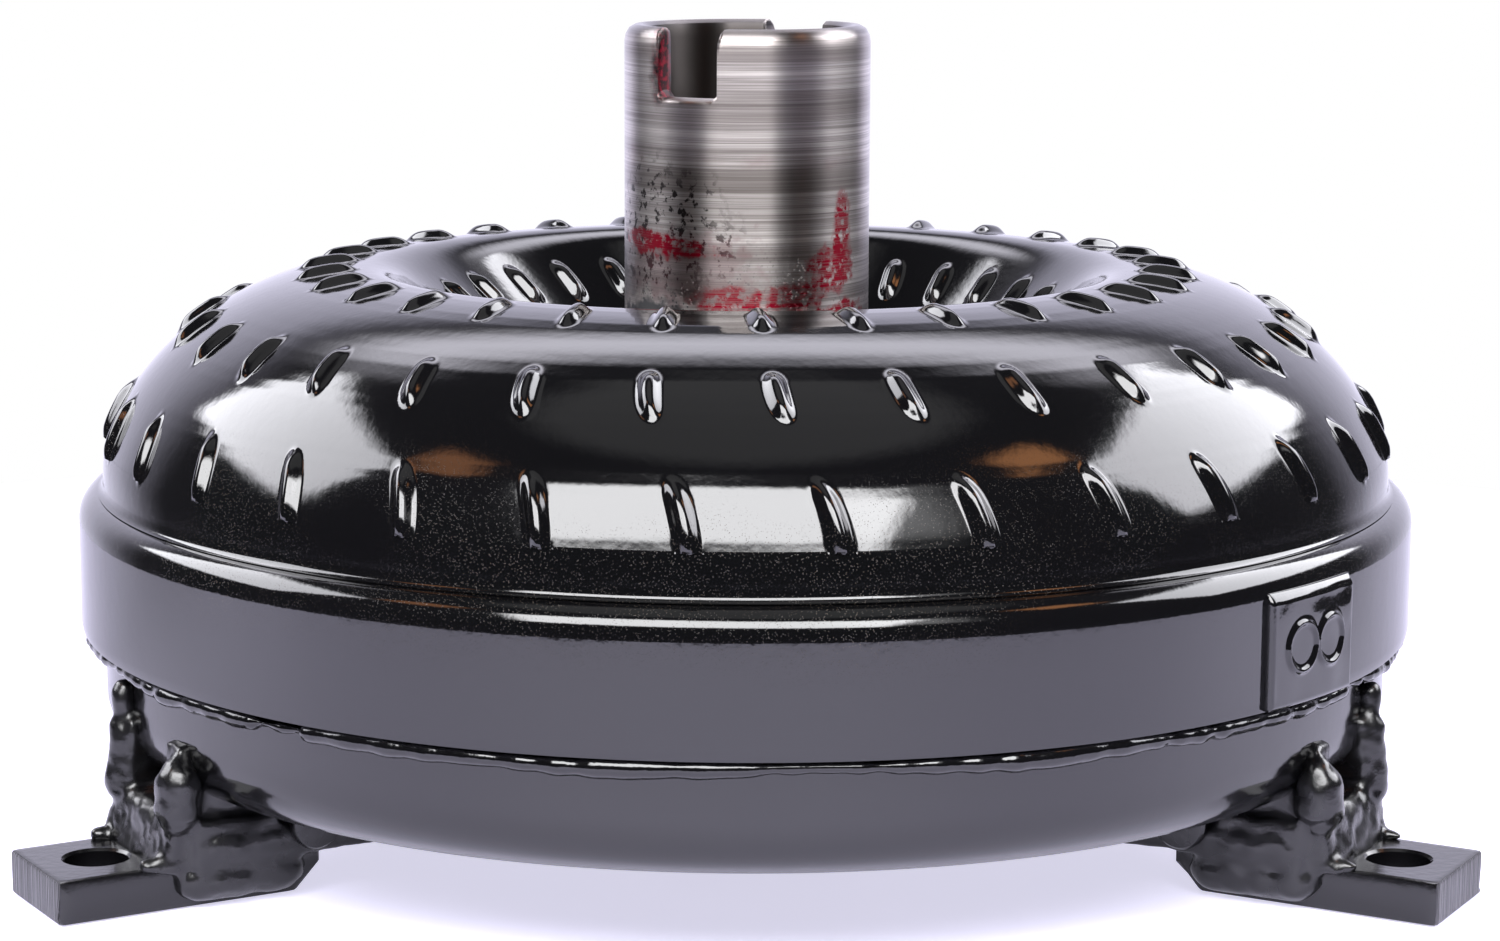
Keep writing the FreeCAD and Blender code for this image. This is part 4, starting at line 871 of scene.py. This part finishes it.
class Finish:
    """A material under construction: its tree, its shader and the patterns that pieces share."""

    def __init__(self, name, **constants):
        self.material = bpy.data.materials.new(name)
        self.material.use_nodes = True
        self.tree = self.material.node_tree
        self.shader = self.tree.nodes["Principled BSDF"]
        for socket, value in constants.items():
            self.shader.inputs[socket.replace("_", " ")].default_value = value
        self.any = Wire(self.tree)
        self.place = self.any.node("ShaderNodeTexCoord", out="Object")

    def noise(self, scale, detail=3.0, stretch=(1, 1, 1), shift=(0, 0, 0)):
        """Noise with about this many lumps to the metre, stretched along the axes."""
        moved = self.any.node("ShaderNodeMapping", {"vector_type": "POINT"}, {
            "Vector": self.place, "Location": shift, "Scale": stretch})
        return self.any.node("ShaderNodeTexNoise", {"noise_dimensions": "3D"}, {
            "Vector": moved, "Scale": scale, "Detail": detail, "Roughness": 0.55})

    def specks(self, scale, radius):
        """Round specks at random points: 1 inside a speck and 0 outside it."""
        spot = self.any.node("ShaderNodeTexVoronoi", {"feature": "F1"}, {"Vector": self.place, "Scale": scale})
        return 1 - spot.steps(radius * 0.6, radius)

    def height(self):
        """Height above the flexplate plane in millimetres."""
        split = self.any.node("ShaderNodeSeparateXYZ", {}, {"Vector": self.place}, out="Z")
        return split * 1000.0

    def from_axis(self):
        """Distance from the shaft line in millimetres."""
        flat = self.any.node("ShaderNodeVectorMath", {"operation": "MULTIPLY"}, {0: self.place, 1: (1, 1, 0)})
        return self.any.node("ShaderNodeVectorMath", {"operation": "LENGTH"}, {0: flat}, out="Value") * 1000.0

    def blot(self, centre, size, ragged=0.5, scale=220.0):
        """A ragged blot: 1 near a centre, fading to 0 at a size along each axis, all in mm."""
        moved = self.any.node("ShaderNodeMapping", {"vector_type": "TEXTURE"}, {
            "Vector": self.place, "Location": [c * MM for c in centre], "Scale": [s * MM for s in size]})
        distance = self.any.node("ShaderNodeVectorMath", {"operation": "LENGTH"}, {0: moved}, out="Value")
        edge = distance + (self.noise(scale) - 0.5) * ragged * 2
        return 1 - edge.steps(0.55, 1.0)

    def mix(self, factor, first, second):
        """One colour turning into another."""
        colours = {6: first if isinstance(first, Wire) else (*first, 1.0),
                   7: second if isinstance(second, Wire) else (*second, 1.0)}
        return self.any.node("ShaderNodeMix", {"data_type": "RGBA"}, {0: factor, **colours}, out=2)

    def bump(self, height, depth, under=None):
        """A normal from a height that stands for this many millimetres."""
        sockets = {"Height": height, "Distance": depth * MM, "Strength": 1.0}
        if under is not None:
            sockets["Normal"] = under
        return self.any.node("ShaderNodeBump", {}, sockets)

    def drive(self, **wires):
        """Link wires to the shader's sockets."""
        for socket, wire in wires.items():
            self.tree.links.new(wire.socket, self.shader.inputs[socket.replace("_", " ")])
        return self.material


# %% [markdown]
# ## Gloss black enamel
#
# Thick enamel over steel mirrors the studio. What tells the eye that it is paint is how the mirror
# fails: a faint orange peel, dust that settled while it was wet, thickest on the ledge above the
# shoulder, and softer gloss where spray landed dry. The paint also carries a thin lavender-grey
# bloom, so it isn't a pure black.

# %% Paint the housing
BLACK = (0.0008, 0.0008, 0.0009)
BLOOM = (0.0022, 0.0021, 0.0026)
DUST = (0.13, 0.105, 0.08)


def enamel(name, peel, dust_amount, rough):
    """Gloss enamel. Peel is the orange peel's depth, dust_amount how much dust it holds."""
    f = Finish(name, IOR=1.52, Metallic=0.0)
    patches = f.noise(14.0, 2.0)
    ledge = f.height().steps(52.0, 66.0) * (1 - f.height().steps(72.0, 92.0))
    where = (ledge * 0.9 + 0.05) * f.noise(24.0, 5.0).steps(0.36, 0.72)
    specks = (f.specks(2600.0, 0.2) + f.specks(1200.0, 0.1)).clipped() * where * dust_amount
    colour = f.mix(patches, BLACK, BLOOM)
    colour = f.mix(specks.clipped(), colour, DUST)
    roughness = rough + f.noise(60.0, 3.0) * 0.05 + specks * 0.25
    peel_height = f.noise(560.0, 2.0) * 0.8 + f.noise(260.0, 2.0) + f.noise(95.0, 1.0) * 1.5
    normal = f.bump(specks, 0.03, f.bump(peel_height, peel))
    return f.drive(Base_Color=colour, Roughness=roughness, Normal=normal)


paint = enamel("black_enamel", 0.015, 1.0, 0.045)
cover_paint = enamel("black_enamel_cover", 0.02, 0.35, 0.09)
bead_paint = enamel("black_enamel_bead", 0.09, 0.4, 0.1)


# %% Paint the weldments
def weld_enamel():
    """Enamel over hand welds: pooled and glossy, with brown heat scale in the dry hollows, which in the window
    hollow is also painted shade.
    """
    f = Finish("black_enamel_weld", IOR=1.52)
    out = f.any.node("ShaderNodeAttribute", {"attribute_name": "outwards"}, out="Fac")
    across = f.any.node("ShaderNodeAttribute", {"attribute_name": "across"}, out="Fac")
    # Painted shade: the window hollow under the bracket gets brown, rough scale. It is partly heat scale and partly
    # a stand-in for the shade in that recess.
    shaded_window_hollow = (1 - out.steps(121.0, 125.5)) * (1 - across.maths("ABSOLUTE", across).steps(5.0, 8.5))
    shaded_window_hollow = shaded_window_hollow * f.height().steps(15.0, 18.0) * (1 - f.height().steps(30.0, 33.0))
    scale = (shaded_window_hollow * f.noise(420.0, 3.0).steps(0.35, 0.6)).clipped()
    colour = f.mix(f.noise(40.0), BLACK, BLOOM)
    # Brown heat scale, which in the window hollow is also painted shade.
    colour = f.mix(scale, colour, (0.055, 0.022, 0.012))
    ripples = f.noise(260.0, 3.0) + f.noise(800.0, 2.0) * 0.3
    roughness = 0.14 + f.noise(90.0) * 0.26 + scale * 0.5
    return f.drive(Base_Color=colour, Roughness=roughness, Normal=f.bump(ripples, 0.14))


def bar_enamel():
    """Enamel over a sawn bar: the saw's upright marks show on the cut end."""
    f = Finish("black_enamel_bar", IOR=1.52)
    out = f.any.node("ShaderNodeAttribute", {"attribute_name": "outwards"}, out="Fac")
    across = f.any.node("ShaderNodeAttribute", {"attribute_name": "across"}, out="Fac")
    sawn = out.steps(LUG_END - 0.35, LUG_END - 0.1)
    lines = f.any.node("ShaderNodeTexNoise", {"noise_dimensions": "1D"}, {
        "W": across * 2.2, "Scale": 1.0, "Detail": 2.0})
    rough_scale = f.noise(600.0, 3.0)
    colour = f.mix(f.noise(50.0), BLACK, BLOOM)
    colour = f.mix(sawn * lines.steps(0.46, 0.7) * 0.8, colour, (0.16, 0.155, 0.17))
    roughness = 0.14 + f.noise(70.0) * 0.14 + sawn * 0.22
    normal = f.bump(lines * sawn, 0.6, f.bump(rough_scale, 0.05))
    return f.drive(Base_Color=colour, Roughness=roughness, Normal=normal)


weld_paint = weld_enamel()
bar_paint = bar_enamel()

# %% [markdown]
# ## The turned hub
#
# The hub stays bare, because it runs in a seal. A lathe and a polishing belt leave fine lines
# round it. Steel with such lines smears reflections along the shaft, so the lines go into the
# bump and the roughness. Red assembly dye and black overspray sit on it in blots, each placed
# round its own centre with a ragged edge.

# %% Finish the hub
def hub_point(azimuth, height, radius=HUB_RADIUS):
    """A point on the hub from an azimuth in degrees and a height in mm."""
    a = math.radians(azimuth)
    return (radius * math.cos(a), radius * math.sin(a), height)


# Azimuth, height, size along x, y and z, raggedness and lumps per metre of each bright dye blot.
DYE_BLOTS = [
    (262, 104, (9, 9, 3.4), 0.5, 420.0),
    (292, 104.5, (8, 9, 3.4), 0.5, 420.0),
    (313, 109.5, (7, 7, 6.0), 0.6, 420.0),
    (319, 117, (2.6, 3.4, 10), 0.5, 300.0),
    (236, 113.5, (8, 9, 2.6), 0.8, 420.0),
    (215, 114.5, (7, 9, 3), 0.8, 420.0),
    (322, 101, (7, 8, 3), 0.8, 420.0),
]


def turned_steel():
    """Bare turned steel with fine lines, dye smears and overspray at the foot, plus painted shade inside the bore
    and on the top chamfer.
    """
    f = Finish("turned_steel_hub", Metallic=1.0, Anisotropic=0.9, Anisotropic_Rotation=0.25)
    fine = f.noise(1.0, 2.0, (25, 25, 9000))
    coarse = f.noise(1.0, 2.0, (14, 14, 1500))
    bands = f.noise(1.0, 1.0, (8, 8, 210))
    lines = fine * 0.55 + coarse * 0.45
    steel = f.mix(lines.steps(0.3, 0.72), (0.21, 0.185, 0.178), (0.60, 0.56, 0.54))
    steel = f.mix(bands.steps(0.42, 0.7) * 0.6, steel, (0.15, 0.128, 0.12))
    # Painted shade: the bore inside the tube is darkened.
    steel = f.mix(1 - f.from_axis().steps(19.3, 20.2), steel, (0.10, 0.09, 0.085))
    # Painted shade: the top chamfer and end face are darkened so they don't mirror the bright ceiling.
    steel = f.mix(f.height().steps(HUB_TOP - 1.7, HUB_TOP - 1.0) * 0.75, steel, (0.11, 0.10, 0.10))
    pits = f.noise(620.0, 4.0).steps(0.53, 0.62) * f.blot(hub_point(222, 116), (20, 24, 17), 0.4, 120.0)
    steel = f.mix(pits.clipped(), steel, (0.035, 0.03, 0.03))
    bright = sum(f.blot(hub_point(azimuth, height), *shape) for azimuth, height, *shape in DYE_BLOTS)
    faint = (f.blot(hub_point(270, 130.5, 0), (27, 27, 3.4), 0.35, 160.0) * 0.55
             + f.blot(hub_point(240, 110), (17, 17, 9), 0.9, 300.0) * 0.5
             + f.blot(hub_point(270, 102, 0), (27, 27, 5), 0.4, 200.0) * 0.4)
    slot_dye = f.blot(hub_point(222, 147, 21.4), (3.2, 4.4, 11), 0.2, 400.0)
    worn = 0.3 + lines.steps(0.35, 0.65) * 0.7
    colour = f.mix((faint * worn * 0.8).clipped(), steel, (0.16, 0.035, 0.05))
    dark_dye = f.mix(f.noise(900.0, 3.0).steps(0.4, 0.65), (0.012, 0.006, 0.007), (0.12, 0.006, 0.014))
    colour = f.mix(slot_dye, colour, dark_dye)
    dye = (bright * 1.4 * worn * f.noise(600.0, 3.0).steps(0.32, 0.52)).clipped()
    colour = f.mix(dye, colour, (0.27, 0.005, 0.02))
    ragged_height = f.height() + (f.noise(260.0, 3.0) - 0.5) * 14.0
    foot = f.blot(hub_point(222, 97), (19, 19, 8.5), 0.3, 400.0) + 1 - ragged_height.steps(97.5, 101.5)
    speckle = f.specks(1300.0, 0.34) * f.noise(150.0, 3.0).steps(0.4, 0.6) * (1 - f.height().steps(100.0, 118.0))
    over = (foot + speckle * 0.8).clipped()
    colour = f.mix(over, colour, (0.006, 0.006, 0.007))
    roughness = 0.25 + lines * 0.16 + over * 0.12
    metal = 1 - over * 0.95
    bump = f.bump(over, 0.02, f.bump(lines, 0.004))
    return f.drive(Base_Color=colour, Roughness=roughness, Metallic=metal, Normal=bump)


hub_steel = turned_steel()

# %% [markdown]
# ## Finishes for what is inside
#
# The wheels and bearings inside never see the light, but each still has the finish of its
# trade: pressed steel with heat colours from brazing, cast aluminium, ground bearing steel and
# blued spring steel. Each existing CAD part takes a finish on its own material slot.

# %% Finishes for the inner pieces
def worked_metal(name, dark, light, stretch, depth, rough):
    """Bare metal whose grain is noise stretched along the way it was worked."""
    f = Finish(name, Metallic=1.0)
    grain = f.noise(1.0, 3.0, stretch)
    clouds = f.noise(45.0, 3.0)
    colour = f.mix((grain * 0.6 + clouds * 0.4).steps(0.3, 0.7), dark, light)
    return f.drive(Base_Color=colour, Roughness=rough + grain * 0.15, Normal=f.bump(grain, depth))


def brazed_steel():
    """Pressed steel that went through a furnace: straw and blue tints in clouds."""
    f = Finish("pressed_steel_brazed", Metallic=1.0)
    clouds = f.noise(22.0, 4.0)
    tint = f.any.node("ShaderNodeValToRGB", {"stops": [
        (0.30, (0.30, 0.29, 0.28)), (0.48, (0.36, 0.30, 0.20)),
        (0.58, (0.25, 0.24, 0.29)), (0.75, (0.36, 0.35, 0.34))]},
        {"Fac": clouds})
    return f.drive(Base_Color=tint, Roughness=0.28 + clouds * 0.2, Normal=f.bump(f.noise(500.0), 0.01))


FINISH_OF_SLOT = {
    "black_paint": paint,
    "turned_steel": worked_metal("turned_steel_inner", (0.30, 0.29, 0.28), (0.55, 0.53, 0.52),
                                 (20, 20, 5000), 0.006, 0.2),
    "pressed_steel": brazed_steel(),
    "cast_aluminium": worked_metal("cast_aluminium", (0.50, 0.50, 0.50), (0.70, 0.70, 0.70),
                                   (700, 700, 700), 0.05, 0.38),
    "bearing_steel": worked_metal("ground_bearing_steel", (0.45, 0.45, 0.46), (0.66, 0.66, 0.67),
                                  (60, 60, 6000), 0.003, 0.12),
    "spring_steel": worked_metal("blued_spring_steel", (0.10, 0.11, 0.17), (0.30, 0.30, 0.34),
                                 (300, 300, 900), 0.008, 0.25),
}
slot_of_node = {entry["node"]: entry["material_slot"] for entry in frame["record"]["subparts"]}
for node, part in frame["nodes"].items():
    part.data.materials.clear()
    part.data.materials.append(FINISH_OF_SLOT[slot_of_node[node]])
print("CAD parts finished:", len(slot_of_node))

# %% [markdown]
# ## Put the pieces in their places
#
# Every new piece belongs to the welded housing, so it rides on that body, and says which CAD
# parts it stands for. The moving wheels inside keep their CAD parts.

# %% Attach the pieces
finish_piece(dome, "housing", paint, "black_paint", "impeller_shell")
finish_piece(skirt, "housing", paint, "black_paint", "impeller_shell")
finish_piece(cover, "housing", cover_paint, "black_paint", "front_cover")
finish_piece(closure_bead, "housing", bead_paint, "black_paint", "closure_weld")
finish_piece(hub_bead, "housing", bead_paint, "black_paint", "hub_weld")
finish_piece(pilot_bead, "housing", bead_paint, "black_paint", "pilot_weld")
finish_piece(hub, "housing", hub_steel, "turned_steel", "pump_hub")
finish_piece(plate, "housing", paint, "black_paint", "balance_plate")
for number in range(1, LUGS + 1):
    finish_piece(bars[number - 1], "housing", bar_paint, "black_paint", f"lug_bar_{number}")
    finish_piece(rods[number - 1], "housing", weld_paint, "black_paint", f"lug_rod_{number}")
    finish_piece(weldments[number - 1], "housing", weld_paint, "black_paint",
                 f"lug_bracket_{number}", f"lug_weld_{number}")

# %% [markdown]
# ## A studio for gloss black
#
# Gloss black shows nothing but its surroundings, so the surroundings are the lighting. The table
# is a pale round one. It ends less than half a metre out, and past its edge the room is dark,
# which is what cuts the skirt's pale reflection off below the shoulder. Soft panels, a wall
# behind and a dim ceiling are painted on the sky by direction, each by its azimuth, its
# elevation and its half width and half height in degrees.

# %% Build the table
TABLE_RADIUS = 425.0
table_rings = np.array([0.02, 60, 130, 200, 300, TABLE_RADIUS])
table_top = np.stack([table_rings, 0 * table_rings], -1)
table_foot = np.array([[TABLE_RADIUS, -4.0], [0.02, -4.0]])
table_outline = np.concatenate([table_top, table_foot])
table = grid_piece("studio_table", turn(table_outline, whole_turn(180))[::-1] - [0, 0, 0.3])


def painted_glow_table_finish():
    """Pale matt table with a painted glow of its own that lights the object, and painted shade at the back: darker
    there, with a dimmer glow that only reflections see.
    """
    # Painted light: the table glows although it is no lamp, and fills the shade under the object.
    f = Finish("pale_table_painted_glow", Roughness=0.6, Emission_Strength=0.66)
    ahead = f.any.node("ShaderNodeSeparateXYZ", {}, {"Vector": f.place}, out="Y")
    # Painted shade: the back half is darker in its colour, and for reflections only also in its glow.
    back = (ahead + f.noise(6.0, 2.0) * 0.04).steps(-0.12, 0.12)
    painted_back_shade_in_reflections = back * (1 - f.any.node("ShaderNodeLightPath", out="Is Camera Ray"))
    return f.drive(Base_Color=f.mix(back, (0.62, 0.60, 0.76), (0.30, 0.29, 0.37)),
                   Emission_Color=f.mix(painted_back_shade_in_reflections, (0.97, 0.95, 1.15), (0.36, 0.35, 0.43)))


table.data.materials.append(painted_glow_table_finish())

# %% Paint the room on the sky
world = bpy.data.worlds.new("studio_world")
bpy.context.scene.world = world
world.use_nodes = True
w = Wire(world.node_tree)
gaze = w.node("ShaderNodeTexCoord", out="Generated")


def toward(direction):
    """How far the gaze points along a direction: their dot product."""
    return w.node("ShaderNodeVectorMath", {"operation": "DOT_PRODUCT"}, {0: gaze, 1: tuple(direction)}, out="Value")


def soft_panel(azimuth, elevation, half_width, half_height, strength, soft=0.06):
    """A soft-edged panel on the sky: inside when |side| and |rise| over ahead stay under a tangent."""
    a, e = math.radians(azimuth), math.radians(elevation)
    ahead = toward((math.cos(a) * math.cos(e), math.sin(a) * math.cos(e), math.sin(e)))
    side = toward((-math.sin(a), math.cos(a), 0)) / ahead
    rise = toward((-math.cos(a) * math.sin(e), -math.sin(a) * math.sin(e), math.cos(e))) / ahead
    inside = ahead.steps(0.0, 0.1)
    for offset, half in ((side, half_width), (rise, half_height)):
        edge = math.tan(math.radians(half))
        inside = inside * (1 - offset.maths("ABSOLUTE", offset).steps(edge - soft, edge + soft))
    return inside * strength


# Azimuth and elevation of the middle, half width, half height, strength, softness and colour.
PANELS = [
    (262, 44, 28, 13, 17.0, 0.05, (1.0, 1.0, 1.02)),
    (299, 41, 8, 10, 2.6, 0.09, (1.0, 1.0, 1.02)),
    (159, 35, 21, 12, 9.0, 0.035, (1.0, 1.0, 1.06)),
    (20, 35, 24, 13, 9.5, 0.035, (1.0, 1.0, 1.06)),
    (88, 49, 26, 8, 4.5, 0.12, (1.0, 0.98, 1.10)),
    (196, 50, 5, 4, 2.6, 0.04, (1.0, 0.42, 0.18)),
    (344, 53, 5, 4, 4.2, 0.04, (1.0, 0.42, 0.16)),
]
overhead = toward((0, 0, 1.0)).steps(0.90, 0.95)
sky = w.node("ShaderNodeMix", {"data_type": "RGBA"}, {
    0: overhead, 6: (0.07, 0.07, 0.08, 1.0), 7: (0.5, 0.5, 0.51, 1.0)}, out=2)
wall = toward((0, 1.0, 0)).steps(0.5, 0.85) * (1 - toward((0, 0, 1.0)).steps(0.40, 0.60))
sky = w.node("ShaderNodeMix", {"data_type": "RGBA"}, {0: wall, 6: sky, 7: (1.25, 1.22, 1.50, 1.0)}, out=2)
for *shape, colour in PANELS:
    glow = w.node("ShaderNodeVectorMath", {"operation": "SCALE"}, {0: colour, "Scale": soft_panel(*shape)})
    sky = w.node("ShaderNodeVectorMath", {"operation": "ADD"}, {0: sky, 1: glow})
seen = w.node("ShaderNodeLightPath", out="Is Camera Ray")
shown = w.node("ShaderNodeMix", {"data_type": "RGBA"}, {0: seen, 6: sky, 7: (1.0, 1.0, 1.0, 1.0)}, out=2)
world.node_tree.links.new(shown.socket, world.node_tree.nodes["Background"].inputs["Color"])
print("soft panels on the sky:", len(PANELS))

# %% [markdown]
# ## The camera
#
# A long lens stands a little above the dome and looks slightly down, so the hub's slots, the
# bowl round it and the undersides of the lugs all show.

# %% Place the camera
CAMERA_PLACE = (-0.00904, -0.70725, 0.1898)
CAMERA_PITCH = 9.81
CAMERA_YAW = -0.8
CAMERA_ROLL = 0.25
lens = bpy.data.cameras.new("camera")
lens.sensor_width = 36.0
lens.lens = 87.32
lens.clip_start = 0.05
camera = bpy.data.objects.new("camera", lens)
camera.location = CAMERA_PLACE
tilt = Matrix.Rotation(math.radians(90 - CAMERA_PITCH), 4, "X") @ Matrix.Rotation(math.radians(CAMERA_ROLL), 4, "Z")
camera.matrix_world = (Matrix.Translation(CAMERA_PLACE) @ Matrix.Rotation(math.radians(CAMERA_YAW), 4, "Z") @ tilt)
bpy.context.scene.collection.objects.link(camera)
bpy.context.scene.camera = camera
bpy.context.scene.view_settings.view_transform = "Standard"
